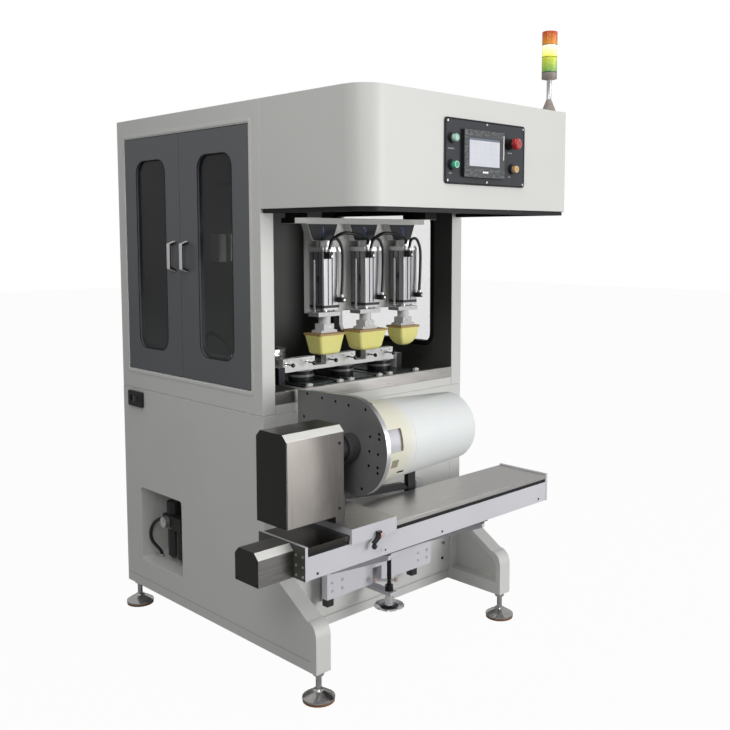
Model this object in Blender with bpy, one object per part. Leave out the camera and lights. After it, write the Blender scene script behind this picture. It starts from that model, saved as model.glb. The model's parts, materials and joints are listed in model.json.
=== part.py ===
"""A three-colour pad printing machine with a turning jig for drums and pails.

Directions: X runs along the machine from its left side, Y from the front of the
cabinet to its back, Z up from the floor. Sizes are in metres. Every piece is drawn
in the cabinet's own directions and then moved so that the part stands on Z = 0 with
the middle of its outline over the origin.
"""
import math

import bmesh
import bpy
from mathutils import Vector

for old in list(bpy.data.objects):
    bpy.data.objects.remove(old, do_unlink=True)

# Fits: the gap between pieces that touch, how far the bodies of one piece sink into
# each other before they are united, the play of moving pieces and the cuts' overrun.
GAP = 0.0003
JOIN = 0.001
PLAY = 0.001
OVERRUN = 0.004
SMOOTH_ANGLE = math.radians(32.0)
ROUND = 20
FINE = 32
SMALL = 8

# Cabinet
CAB_WIDTH = 0.926
CAB_DEPTH = 0.850
CAB_TOP = 1.795
BASE_BOTTOM = 0.091
BASE_TOP = 0.834
SIDE_THICK = 0.058
POST_LEFT = 0.050
POST_RIGHT = 0.0525
BACK_THICK = 0.020
ROOF_THICK = 0.018
PANEL_THICK = 0.012
FLOOR_THICK = 0.005
RAIL_HEIGHT = 0.045
RAIL_DEPTH = 0.040
RAIL_SET_BACK = 0.006

# Work slide, which sets the ends of the whole machine
SLIDE_LEFT = -0.118
SLIDE_RIGHT = 1.014
SLIDE_FRONT = -0.340
SLIDE_BACK = -0.131
SLIDE_BOTTOM = 0.437
SLIDE_TOP = 0.5295
MOTOR_LENGTH = 0.122

# Hood and the stop button on its front
HOOD_FRONT = -0.453
HOOD_BOTTOM = 1.467
PANEL_PLATE = 0.004
STOP_REACH = 0.043

# Levelling feet, whose rear pair stands furthest back
FOOT_RADIUS = 0.050
FRONT_FOOT_Y = -0.221
REAR_FOOT_INSET = 0.031
REAR_FOOT_Y = CAB_DEPTH - REAR_FOOT_INSET

# Where the part's origin lies: the middle of its outline
ORIGIN_X = (SLIDE_LEFT - GAP - MOTOR_LENGTH + SLIDE_RIGHT) / 2
ORIGIN_Y = (HOOD_FRONT - GAP - PANEL_PLATE - STOP_REACH + REAR_FOOT_Y + FOOT_RADIUS) / 2
ORIGIN = Vector((ORIGIN_X, ORIGIN_Y, 0.0))


def paint(name, colour, rough, metal):
    """A plain surface with its colour, roughness and metallic value."""
    look = bpy.data.materials.new(name)
    look.use_nodes = True
    shader = look.node_tree.nodes["Principled BSDF"]
    shader.inputs["Base Color"].default_value = (*colour, 1.0)
    shader.inputs["Roughness"].default_value = rough
    shader.inputs["Metallic"].default_value = metal
    return look


WHITE_PAINT = ((0.74, 0.74, 0.71), 0.42, 0.0)
GREY_PAINT = ((0.105, 0.110, 0.118), 0.45, 0.0)
DARK_PLATE = ((0.040, 0.041, 0.046), 0.40, 0.0)
BLACK_PLASTIC = ((0.014, 0.014, 0.016), 0.45, 0.0)
STAINLESS = ((0.52, 0.49, 0.46), 0.30, 1.0)
CHROME = ((0.80, 0.80, 0.80), 0.10, 1.0)
ALUMINIUM = ((0.66, 0.67, 0.69), 0.32, 1.0)
SILVER_FACE = ((0.63, 0.63, 0.68), 0.40, 0.3)
GLASS = ((0.012, 0.014, 0.018), 0.06, 0.0)
SILICONE = ((0.80, 0.68, 0.16), 0.50, 0.0)
CREAM = ((0.78, 0.73, 0.46), 0.45, 0.0)
RUBBER = ((0.14, 0.075, 0.045), 0.75, 0.0)


def lift(axis, level, point):
    """Put a flat point at a level along X, Y or Z."""
    first, second = point
    if axis == "X":
        return (level, first, second)
    if axis == "Y":
        return (first, level, second)
    return (first, second, level)


def circle(centre, radius, sides, start=0.0):
    """Points round a circle, anticlockwise."""
    turn = 2 * math.pi / sides
    return [(centre[0] + radius * math.cos(start + turn * i),
             centre[1] + radius * math.sin(start + turn * i)) for i in range(sides)]


def arc(centre, radius, start, end, steps):
    """Points along part of a circle, both ends included."""
    return [(centre[0] + radius * math.cos(start + (end - start) * i / steps),
             centre[1] + radius * math.sin(start + (end - start) * i / steps))
            for i in range(steps + 1)]


def rounded(a_low, a_high, b_low, b_high, radius, steps=4):
    """A rectangle with four round corners."""
    quarter = math.pi / 2
    corners = ((a_high - radius, b_high - radius), (a_low + radius, b_high - radius),
               (a_low + radius, b_low + radius), (a_high - radius, b_low + radius))
    points = []
    for i, corner in enumerate(corners):
        points += arc(corner, radius, quarter * i, quarter * (i + 1), steps)
    return points


def oblong(a_low, a_high, b_low, b_high):
    """A plain rectangle."""
    return [(a_low, b_low), (a_high, b_low), (a_high, b_high), (a_low, b_high)]


class Shape:
    """Closed bodies that are united into one piece; the first is the main one."""

    def __init__(self):
        self.bodies = []

    def fresh(self):
        """Start another body."""
        self.bodies.append(bmesh.new())
        return self.bodies[-1]

    def prism(self, outline, axis, low, high, holes=()):
        """A flat outline carried along an axis, with any holes through it."""
        bm = self.fresh()
        lower, upper, lower_edges = [], [], []
        for loop in (outline, *holes):
            first = [bm.verts.new(lift(axis, low, p)) for p in loop]
            second = [bm.verts.new(lift(axis, high, p)) for p in loop]
            for i, vert in enumerate(first):
                after = (i + 1) % len(first)
                lower_edges.append(bm.edges.new((vert, first[after])))
                bm.faces.new((vert, first[after], second[after], second[i]))
            lower += first
            upper += second
        if not holes:
            bm.faces.new(lower)
            bm.faces.new(upper)
            return
        made = bmesh.ops.triangle_fill(bm, use_beauty=True, edges=lower_edges)
        partner = dict(zip(lower, upper))
        for item in made["geom"]:
            if isinstance(item, bmesh.types.BMFace):
                bm.faces.new([partner[v] for v in item.verts])

    def box(self, x_low, x_high, y_low, y_high, z_low, z_high):
        """A plain block between two values on each axis."""
        self.prism(oblong(x_low, x_high, y_low, y_high), "Z", z_low, z_high)

    def rod(self, axis, centre, radius, low, high, sides=ROUND, bore=0.0):
        """A round bar along an axis, with a bore through it if one is given."""
        holes = (circle(centre, bore, sides),) if bore else ()
        self.prism(circle(centre, radius, sides), axis, low, high, holes)

    def turned(self, axis, centre, profile, sides=ROUND):
        """A profile of radius and level turned about an axis."""
        bm = self.fresh()
        rings = []
        for radius, level in profile:
            if radius == 0.0:
                rings.append([bm.verts.new(lift(axis, level, centre))])
            else:
                loop = circle(centre, radius, sides)
                rings.append([bm.verts.new(lift(axis, level, p)) for p in loop])
        pairs = list(zip(rings, rings[1:]))
        if len(rings[0]) > 1:
            pairs.append((rings[-1], rings[0]))
        for one, two in pairs:
            for i in range(sides):
                j = (i + 1) % sides
                corners = [one[i % len(one)], one[j % len(one)],
                           two[j % len(two)], two[i % len(two)]]
                distinct = list(dict.fromkeys(corners))
                if len(distinct) > 2:
                    bm.faces.new(distinct)

    def ball(self, centre, radius, sides=SMALL):
        """A ball, turned about an upright axis."""
        half = sides // 2
        profile = []
        for i in range(half + 1):
            angle = -math.pi / 2 + math.pi * i / half
            wide = 0.0 if i in (0, half) else radius * math.cos(angle)
            profile.append((wide, centre[2] + radius * math.sin(angle)))
        self.turned("Z", centre[:2], profile, sides)


def mesh_object(name, bodies, pivot):
    """Turn bodies into one object whose origin is its pivot."""
    whole = bmesh.new()
    scratch = bpy.data.meshes.new("scratch")
    for bm in bodies:
        bmesh.ops.recalc_face_normals(bm, faces=bm.faces[:])
        bmesh.ops.translate(bm, verts=bm.verts[:], vec=-Vector(pivot))
        bm.to_mesh(scratch)
        bm.free()
        whole.from_mesh(scratch)
    bpy.data.meshes.remove(scratch)
    mesh = bpy.data.meshes.new(name)
    whole.to_mesh(mesh)
    whole.free()
    mesh.shade_smooth()
    mesh.set_sharp_from_angle(angle=SMOOTH_ANGLE)
    thing = bpy.data.objects.new(name, mesh)
    thing.location = Vector(pivot) - ORIGIN
    bpy.context.scene.collection.objects.link(thing)
    return thing


def combine(thing, suffix, bodies, operation):
    """Unite a piece with more bodies, or take them out of it."""
    tool = mesh_object(thing.name + suffix, bodies, (0.0, 0.0, 0.0))
    tool.hide_render = True
    tool.display_type = "WIRE"
    step = thing.modifiers.new(operation.lower(), "BOOLEAN")
    step.operation = operation
    step.solver = "EXACT"
    step.use_self = len(bodies) > 1
    step.object = tool


def piece(name, shape, look, pivot=(0.0, 0.0, 0.0)):
    """A finished piece with its own material, its bodies united."""
    thing = mesh_object(name, shape.bodies[:1], pivot)
    thing.data.materials.append(paint(name + "_paint", *look))
    if len(shape.bodies) > 1:
        combine(thing, "_joined", shape.bodies[1:], "UNION")
    return thing


def cut(thing, shape):
    """Take a shape out of a piece."""
    combine(thing, "_cutter", shape.bodies, "DIFFERENCE")


def hose(name, route, radius, look):
    """A round hose along a smooth curve through its route, with straight ends."""
    curve = bpy.data.curves.new(name, "CURVE")
    curve.dimensions = "3D"
    curve.bevel_depth = radius
    curve.bevel_resolution = HOSE_SIDES
    curve.use_fill_caps = True
    places = [Vector(p) for p in route]
    points = [places[0]]
    for i in range(1, len(places) - 2):
        before, here, there, after = places[i - 1:i + 3]
        for k in range(HOSE_STEPS):
            t = k / HOSE_STEPS
            points.append(0.5 * ((2 * here) + (there - before) * t
                          + (2 * before - 5 * here + 4 * there - after) * t ** 2
                          + (3 * here - before - 3 * there + after) * t ** 3))
    points += places[-2:]
    spline = curve.splines.new("POLY")
    spline.points.add(len(points) - 1)
    for slot, place in zip(spline.points, points):
        slot.co = (*(place - ORIGIN), 1.0)
    thing = bpy.data.objects.new(name, curve)
    bpy.context.scene.collection.objects.link(thing)
    curve.materials.append(paint(name + "_paint", *look))
    return thing


HOSE_SIDES = 2
HOSE_STEPS = 3

# Places that several cabinet pieces share
INNER_LEFT = SIDE_THICK + GAP
INNER_RIGHT = CAB_WIDTH - SIDE_THICK - GAP
UPPER_LEFT = POST_LEFT + GAP
UPPER_RIGHT = CAB_WIDTH - POST_RIGHT - GAP
BACK_FACE = CAB_DEPTH - BACK_THICK
UPPER_BOTTOM = BASE_TOP + GAP

# Side frames: base side and front leg in one, with a hollow on the leg's inner face
LEG_REACH = 0.245
LEG_TOE_HEIGHT = 0.109
LEG_BEND_BACK = 0.043
LEG_BEND_RISE = 0.158
LEG_ROOT_RISE = 0.283
LEG_ARC_STEPS = 6
HOLLOW_DEPTH = 0.040
HOLLOW_RIM = 0.022
HOLLOW_FOOT = 0.045
ALCOVE_INSET = 0.106
ALCOVE_LENGTH = 0.272
ALCOVE_BACK = CAB_DEPTH - ALCOVE_INSET
ALCOVE_FRONT = ALCOVE_BACK - ALCOVE_LENGTH
ALCOVE_BOTTOM = 0.197
ALCOVE_TOP = 0.468
ALCOVE_ROUND = 0.012


def leg_edge(rim, foot):
    """The leg's front edge from its toe up to its root, drawn in by a rim."""
    toe = BASE_BOTTOM + LEG_TOE_HEIGHT - rim / 2
    bend_y = -LEG_REACH + LEG_BEND_BACK + rim / 2
    bend_z = BASE_BOTTOM + LEG_BEND_RISE - rim
    front = -LEG_REACH + rim
    points = [(front, BASE_BOTTOM + foot)]
    for i in range(LEG_ARC_STEPS + 1):
        turn = math.pi / 2 * i / LEG_ARC_STEPS
        points.append((front + (bend_y - front) * (1 - math.cos(turn)),
                       toe + (bend_z - toe) * math.sin(turn)))
    return points


def side_frame(name, left, mirrored):
    """One base side with its leg; the left one also has the alcove's opening."""
    outline = [(CAB_DEPTH, BASE_BOTTOM), (CAB_DEPTH, BASE_TOP), (0.0, BASE_TOP),
               (0.0, BASE_BOTTOM + LEG_ROOT_RISE), *reversed(leg_edge(0.0, 0.0))]
    shape = Shape()
    holes = ()
    if not mirrored:
        holes = (rounded(ALCOVE_FRONT, ALCOVE_BACK, ALCOVE_BOTTOM, ALCOVE_TOP,
                         ALCOVE_ROUND),)
    shape.prism(outline, "X", left, left + SIDE_THICK, holes)
    thing = piece(name, shape, WHITE_PAINT)
    hollow = Shape()
    rear = -HOLLOW_RIM / 2
    edge = [(rear, BASE_BOTTOM + HOLLOW_FOOT),
            (rear, BASE_BOTTOM + LEG_ROOT_RISE - HOLLOW_RIM),
            *reversed(leg_edge(HOLLOW_RIM, HOLLOW_FOOT))]
    if mirrored:
        hollow.prism(edge, "X", left - OVERRUN, left + HOLLOW_DEPTH)
    else:
        inner = left + SIDE_THICK
        hollow.prism(edge, "X", inner - HOLLOW_DEPTH, inner + OVERRUN)
    cut(thing, hollow)


side_frame("left_side_frame", 0.0, False)
side_frame("right_side_frame", CAB_WIDTH - SIDE_THICK, True)

# Base: front and rear rails with the floor sheet on them
shape = Shape()
shape.box(INNER_LEFT, INNER_RIGHT, RAIL_SET_BACK, RAIL_SET_BACK + RAIL_DEPTH,
          BASE_BOTTOM, BASE_BOTTOM + RAIL_HEIGHT)
shape.box(INNER_LEFT, INNER_RIGHT, BACK_FACE - GAP - RAIL_DEPTH, BACK_FACE - GAP,
          BASE_BOTTOM, BASE_BOTTOM + RAIL_HEIGHT)
FLOOR_LEVEL = BASE_BOTTOM + RAIL_HEIGHT - JOIN
shape.box(INNER_LEFT, INNER_RIGHT, PANEL_THICK - JOIN, BACK_FACE - GAP,
          FLOOR_LEVEL, FLOOR_LEVEL + FLOOR_THICK)

# Front panel of the base, with two small holes near its right edge
HOLE_RADIUS = 0.004
HOLE_INSET = 0.042
HOLE_LOW = 0.180
HOLE_HIGH = 0.240
hole_x = INNER_RIGHT - HOLE_INSET
shape.prism(oblong(INNER_LEFT, INNER_RIGHT, FLOOR_LEVEL, BASE_TOP - GAP), "Y",
            0.0, PANEL_THICK,
            (circle((hole_x, HOLE_LOW), HOLE_RADIUS, SMALL),
             circle((hole_x, HOLE_HIGH), HOLE_RADIUS, SMALL)))
piece("base_front", shape, WHITE_PAINT)

# Upper cabinet: a welded shell of two side walls, back and roof. The left wall frames
# the doors, the right one the window, and the back reaches down to the base.
DOOR_FRONT_Y = 0.055
DOOR_BACK_INSET = 0.050
DOOR_SPLIT_OFFSET = 0.0155
DOOR_BACK_Y = CAB_DEPTH - DOOR_BACK_INSET
DOOR_SPLIT_Y = (DOOR_FRONT_Y + DOOR_BACK_Y) / 2 + DOOR_SPLIT_OFFSET
DOOR_BOTTOM = 0.907
DOOR_TOP = 1.727
WINDOW_FRONT = 0.100
WINDOW_BACK_INSET = 0.190
WINDOW_BACK = CAB_DEPTH - WINDOW_BACK_INSET
WINDOW_BOTTOM = 0.983
WINDOW_TOP = 1.470
WINDOW_ROUND = 0.035


def window_outline(grow):
    """The side window's outline, made larger or smaller all round."""
    return rounded(WINDOW_FRONT - grow, WINDOW_BACK + grow, WINDOW_BOTTOM - grow,
                   WINDOW_TOP + grow, WINDOW_ROUND + grow)


shape = Shape()
shape.prism(oblong(0.0, CAB_DEPTH, UPPER_BOTTOM, CAB_TOP), "X", 0.0, POST_LEFT,
            (oblong(DOOR_FRONT_Y, DOOR_BACK_Y, DOOR_BOTTOM, DOOR_TOP),))
shape.prism(oblong(0.0, CAB_DEPTH, UPPER_BOTTOM, CAB_TOP), "X",
            CAB_WIDTH - POST_RIGHT, CAB_WIDTH, (window_outline(0.0),))
shape.box(POST_LEFT - JOIN, CAB_WIDTH - POST_RIGHT + JOIN, BACK_FACE, CAB_DEPTH,
          UPPER_BOTTOM, CAB_TOP)
shape.box(INNER_LEFT, INNER_RIGHT, BACK_FACE, CAB_DEPTH, BASE_BOTTOM,
          UPPER_BOTTOM + JOIN)
shape.box(POST_LEFT - JOIN, CAB_WIDTH - POST_RIGHT + JOIN, 0.0, BACK_FACE + JOIN,
          CAB_TOP - ROOF_THICK, CAB_TOP)
piece("upper_cabinet", shape, WHITE_PAINT)

# Side window: a pane held in a black rubber rim that lines the wall's opening
PANE_THICK = 0.006
PANE_INSET = 0.020
RIM_WIDTH = 0.012
RIM_THICK = 0.004
RIM_LINING = 0.005
shape = Shape()
pane_x = CAB_WIDTH - PANE_INSET - PANE_THICK
rim_x = CAB_WIDTH - POST_RIGHT - GAP
shape.prism(window_outline(-GAP), "X", pane_x, pane_x + PANE_THICK)
shape.prism(window_outline(-GAP), "X", rim_x - JOIN, pane_x + JOIN,
            (window_outline(-RIM_LINING),))
shape.prism(window_outline(RIM_WIDTH), "X", rim_x - RIM_THICK, rim_x,
            (window_outline(-RIM_LINING),))
piece("right_window", shape, GLASS)

# Hood over the print area, open below and behind, with a round left corner
HOOD_ROUND = 0.080
HOOD_WALL = 0.020
HOOD_BACK = -GAP


def hood_outline(inset, back):
    """The hood seen from above, drawn in by an inset."""
    radius = HOOD_ROUND - inset
    turn = arc((HOOD_ROUND, HOOD_FRONT + HOOD_ROUND), radius, math.pi, 1.5 * math.pi, 10)
    return [(inset, back), *turn, (CAB_WIDTH - inset, HOOD_FRONT + inset),
            (CAB_WIDTH - inset, back)]


shape = Shape()
shape.prism(hood_outline(0.0, HOOD_BACK), "Z", HOOD_BOTTOM, CAB_TOP)
hood = piece("hood", shape, WHITE_PAINT)
shape = Shape()
shape.prism(hood_outline(HOOD_WALL, HOOD_BACK + OVERRUN), "Z",
            HOOD_BOTTOM - OVERRUN, CAB_TOP - HOOD_WALL)
cut(hood, shape)

# Black frame under the hood, and the deck with two rails for the pad carriage
FRAME_HEIGHT = 0.012
FRAME_INSET = 0.006
FRAME_WIDTH = 0.034
DECK_PLATE_LEVEL = 1.552
DECK_PLATE_THICK = 0.012
DECK_PLATE_FRONT = -0.400
DECK_PLATE_BACK = 0.300
TRACK_WIDTH = 0.024
TRACK_HEIGHT = 0.030
PAD_PITCH = 0.184
PAD_OFFSET = 0.003
PAD_MIDDLE = CAB_WIDTH / 2 + PAD_OFFSET
TRACK_SPREAD = 0.540
HANGER_DEPTH = 0.024
TRACK_BOTTOM = DECK_PLATE_LEVEL - TRACK_HEIGHT
track_left = PAD_MIDDLE - TRACK_SPREAD / 2
track_right = PAD_MIDDLE + TRACK_SPREAD / 2
shape = Shape()
frame_back = -FRAME_INSET
inner_edge = hood_outline(FRAME_INSET + FRAME_WIDTH, frame_back)
shape.prism([*hood_outline(FRAME_INSET, frame_back), *reversed(inner_edge)], "Z",
            HOOD_BOTTOM - GAP - FRAME_HEIGHT, HOOD_BOTTOM - GAP)
shape.box(UPPER_LEFT, UPPER_RIGHT, DECK_PLATE_FRONT, DECK_PLATE_BACK,
          DECK_PLATE_LEVEL, DECK_PLATE_LEVEL + DECK_PLATE_THICK)
for track in (track_left, track_right):
    shape.box(track - TRACK_WIDTH / 2, track + TRACK_WIDTH / 2, DECK_PLATE_FRONT,
              DECK_PLATE_BACK, TRACK_BOTTOM, DECK_PLATE_LEVEL + JOIN)
hanger_left = HOOD_WALL + GAP
hanger_right = CAB_WIDTH - HOOD_WALL - GAP
for low, high in ((hanger_left, UPPER_LEFT + JOIN), (UPPER_RIGHT - JOIN, hanger_right)):
    for y in (DECK_PLATE_FRONT + HANGER_DEPTH * 2, frame_back - HANGER_DEPTH * 3):
        shape.box(low, high, y, y + HANGER_DEPTH, HOOD_BOTTOM - GAP - FRAME_HEIGHT / 2,
                  DECK_PLATE_LEVEL + DECK_PLATE_THICK / 2)
piece("hood_frame", shape, BLACK_PLASTIC)

# Stainless sill on the front edge of the work deck
DECK_THICK = 0.029
SILL_TOP = 0.902
SILL_THICK = 0.004
SILL_LIP = 0.018
shape = Shape()
deck_top = UPPER_BOTTOM + DECK_THICK
sill_bottom = deck_top + GAP
shape.prism([(0.0, sill_bottom), (0.0, SILL_TOP), (SILL_LIP, SILL_TOP),
             (SILL_LIP, SILL_TOP - SILL_THICK), (SILL_THICK, SILL_TOP - SILL_THICK),
             (SILL_THICK, sill_bottom)], "X", UPPER_LEFT, UPPER_RIGHT)
piece("sill_plate", shape, STAINLESS)

# Work deck across the cabinet, with three trays, their printing plates, the dividers
# between them and the two guides of the ink carriage
TRAY_WIDTH = 0.158
TRAY_FRONT = 0.021
TRAY_BACK = 0.420
TRAY_TOP = 0.8990
DIVIDER_WIDTH = 0.012
DIVIDER_TOP = 0.9015
PLATE_WIDTH = 0.124
PLATE_FRONT = 0.045
PLATE_BACK = 0.400
PLATE_THICK = 0.004
GUIDE_WIDTH = 0.020
GUIDE_BACK = 0.460
GUIDE_STAND_OFF = 0.003
INK_REACH_LEFT = 0.279
INK_REACH_RIGHT = 0.251
INK_BAR_LEFT = PAD_MIDDLE - INK_REACH_LEFT
INK_BAR_RIGHT = PAD_MIDDLE + INK_REACH_RIGHT
pad_centres = [PAD_MIDDLE + PAD_PITCH * k for k in (-1, 0, 1)]
bed_bottom = deck_top - JOIN
guide_edges = (INK_BAR_LEFT - GUIDE_STAND_OFF - GUIDE_WIDTH,
               INK_BAR_RIGHT + GUIDE_STAND_OFF)
shape = Shape()
shape.box(UPPER_LEFT, UPPER_RIGHT, 0.0, BACK_FACE - GAP, UPPER_BOTTOM, deck_top)
for x in pad_centres:
    shape.box(x - TRAY_WIDTH / 2, x + TRAY_WIDTH / 2, TRAY_FRONT, TRAY_BACK,
              bed_bottom, TRAY_TOP)
for left in guide_edges:
    shape.box(left, left + GUIDE_WIDTH, TRAY_FRONT, GUIDE_BACK, bed_bottom, TRAY_TOP)
for x in pad_centres:
    shape.box(x - PLATE_WIDTH / 2, x + PLATE_WIDTH / 2, PLATE_FRONT, PLATE_BACK,
              TRAY_TOP - JOIN, TRAY_TOP + PLATE_THICK)
for x in (PAD_MIDDLE - PAD_PITCH / 2, PAD_MIDDLE + PAD_PITCH / 2):
    shape.box(x - DIVIDER_WIDTH / 2, x + DIVIDER_WIDTH / 2, TRAY_FRONT, TRAY_BACK,
              bed_bottom, DIVIDER_TOP)
piece("work_deck", shape, WHITE_PAINT)
PLATE_TOP = TRAY_TOP + PLATE_THICK

# Ink carriage: a rail on two runners, three clamps, ink cups and a stack of rings
INK_FRONT = 0.140
INK_BAR_DEPTH = 0.036
INK_BAR_BOTTOM = 0.934
INK_BAR_HEIGHT = 0.013
CLAMP_WIDTH = 0.137
CLAMP_HEIGHT = 0.033
CLAMP_DEPTH = 0.026
CLAMP_INSET = 0.005
CLAMP_FIRST = INK_BAR_LEFT + CLAMP_INSET
CLAMP_PITCH = 0.188
CUP_RADIUS = 0.042
CUP_BORE = 0.033
RUNNER_LENGTH = 0.060
RUNNER_TOP = 0.955
RING_RADIUS = 0.060
RING_BORE = 0.040
RING_THICK = 0.010
RING_STEP = 0.0165
RING_INSET = 0.027
RING_X = INK_BAR_LEFT + RING_INSET
RING_Y = 0.250
RING_COUNT = 4
POST_RADIUS = 0.046
RING_ARM = 0.018
shape = Shape()
ink_back = INK_FRONT + INK_BAR_DEPTH
bar_top = INK_BAR_BOTTOM + INK_BAR_HEIGHT
shape.box(INK_BAR_LEFT, INK_BAR_RIGHT, INK_FRONT, ink_back, INK_BAR_BOTTOM, bar_top)
for k in range(3):
    left = CLAMP_FIRST + CLAMP_PITCH * k
    shape.box(left, left + CLAMP_WIDTH, INK_FRONT, INK_FRONT + CLAMP_DEPTH,
              bar_top - JOIN, bar_top + CLAMP_HEIGHT)
runner_middle = INK_FRONT + INK_BAR_DEPTH / 2
runner_reach = GUIDE_WIDTH + GUIDE_STAND_OFF * 2
for left in (guide_edges[0], guide_edges[1] + GUIDE_WIDTH - runner_reach):
    shape.box(left, left + runner_reach, runner_middle - RUNNER_LENGTH / 2,
              runner_middle + RUNNER_LENGTH / 2, TRAY_TOP + GAP, RUNNER_TOP)
for x in pad_centres:
    shape.rod("Z", (x, runner_middle), CUP_RADIUS, PLATE_TOP + GAP,
              INK_BAR_BOTTOM + JOIN, ROUND, CUP_BORE)
shape.box(RING_X - RING_ARM, RING_X + RING_ARM, ink_back - JOIN,
          RING_Y - POST_RADIUS + RING_ARM / 2, INK_BAR_BOTTOM, bar_top)
shape.rod("Z", (RING_X, RING_Y), POST_RADIUS, PLATE_TOP + GAP, bar_top, ROUND)
for k in range(RING_COUNT):
    low = bar_top - JOIN + RING_STEP * k
    shape.rod("Z", (RING_X, RING_Y), RING_RADIUS, low, low + RING_THICK, ROUND,
              RING_BORE)
    if k < RING_COUNT - 1:
        shape.rod("Z", (RING_X, RING_Y), RING_RADIUS - RING_THICK,
                  low + RING_THICK - JOIN, low + RING_STEP + JOIN, ROUND, RING_BORE)

# Six ball knobs on thin stems, two for each clamp
KNOB_BALL = 0.0075
KNOB_REACH = 0.040
KNOB_STEM = 0.0025
KNOB_LEVEL = 0.963
KNOB_FIRST = 0.010
KNOB_SECOND = 0.100
for k in range(3):
    for offset in (KNOB_FIRST, KNOB_SECOND):
        x = CLAMP_FIRST + CLAMP_PITCH * k + offset
        profile = [(0.0, INK_FRONT - KNOB_REACH - KNOB_BALL)]
        for i in range(1, 6):
            turn = math.pi * i / 6
            profile.append((KNOB_BALL * math.sin(turn),
                            INK_FRONT - KNOB_REACH - KNOB_BALL * math.cos(turn)))
        profile[-1] = (KNOB_STEM, INK_FRONT - KNOB_REACH + KNOB_BALL)
        profile += [(KNOB_STEM, INK_FRONT + JOIN), (0.0, INK_FRONT + JOIN)]
        shape.turned("Y", (x, KNOB_LEVEL), profile, SMALL)
piece("ink_carriage", shape, WHITE_PAINT)

# Pad carriage: two hanger blocks, a cross beam and a back plate for the cylinders
PAD_Y = 0.034
CYL_HALF = 0.036
CYL_BOTTOM = 1.148
CYL_HEIGHT = 0.202
BEAM_CLEAR = 0.077
BEAM_THICK = 0.018
CYL_TOP = CYL_BOTTOM + CYL_HEIGHT
BEAM_BOTTOM = CYL_TOP + BEAM_CLEAR
BEAM_TOP = BEAM_BOTTOM + BEAM_THICK
BEAM_SPREAD = 0.600
BEAM_FRONT = 0.040
BEAM_BACK = 0.110
BACKPLATE_THICK = 0.012
BACKPLATE_WIDTH = 0.460
BACKPLATE_BOTTOM = 1.135
HANGER_WIDTH = 0.060
HANGER_LENGTH = 0.110
shape = Shape()
beam_left = PAD_MIDDLE - BEAM_SPREAD / 2
beam_right = PAD_MIDDLE + BEAM_SPREAD / 2
shape.box(beam_left, beam_right, BEAM_FRONT, BEAM_BACK, BEAM_BOTTOM, BEAM_TOP)
plate_front = PAD_Y + CYL_HALF + GAP
shape.box(PAD_MIDDLE - BACKPLATE_WIDTH / 2, PAD_MIDDLE + BACKPLATE_WIDTH / 2,
          plate_front, plate_front + BACKPLATE_THICK, BACKPLATE_BOTTOM,
          BEAM_BOTTOM + JOIN)
for x in (track_left, track_right):
    shape.box(x - HANGER_WIDTH / 2, x + HANGER_WIDTH / 2, PAD_Y - HANGER_LENGTH / 2,
              PAD_Y + HANGER_LENGTH / 2, BEAM_TOP - JOIN, TRACK_BOTTOM - GAP)

# Number plates: three boxes under the beam, wide at the top
NUMBER_TOP = 0.066
NUMBER_FOOT = 0.044
NUMBER_HEIGHT = 0.056
NUMBER_FRONT = 0.040
number_low = BEAM_BOTTOM - NUMBER_HEIGHT
for x in pad_centres:
    top = BEAM_BOTTOM + JOIN
    shape.prism([(x - NUMBER_TOP, top), (x + NUMBER_TOP, top),
                 (x + NUMBER_FOOT, number_low), (x - NUMBER_FOOT, number_low)], "Y",
                NUMBER_FRONT, plate_front + JOIN)
piece("pad_carriage", shape, WHITE_PAINT)

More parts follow.
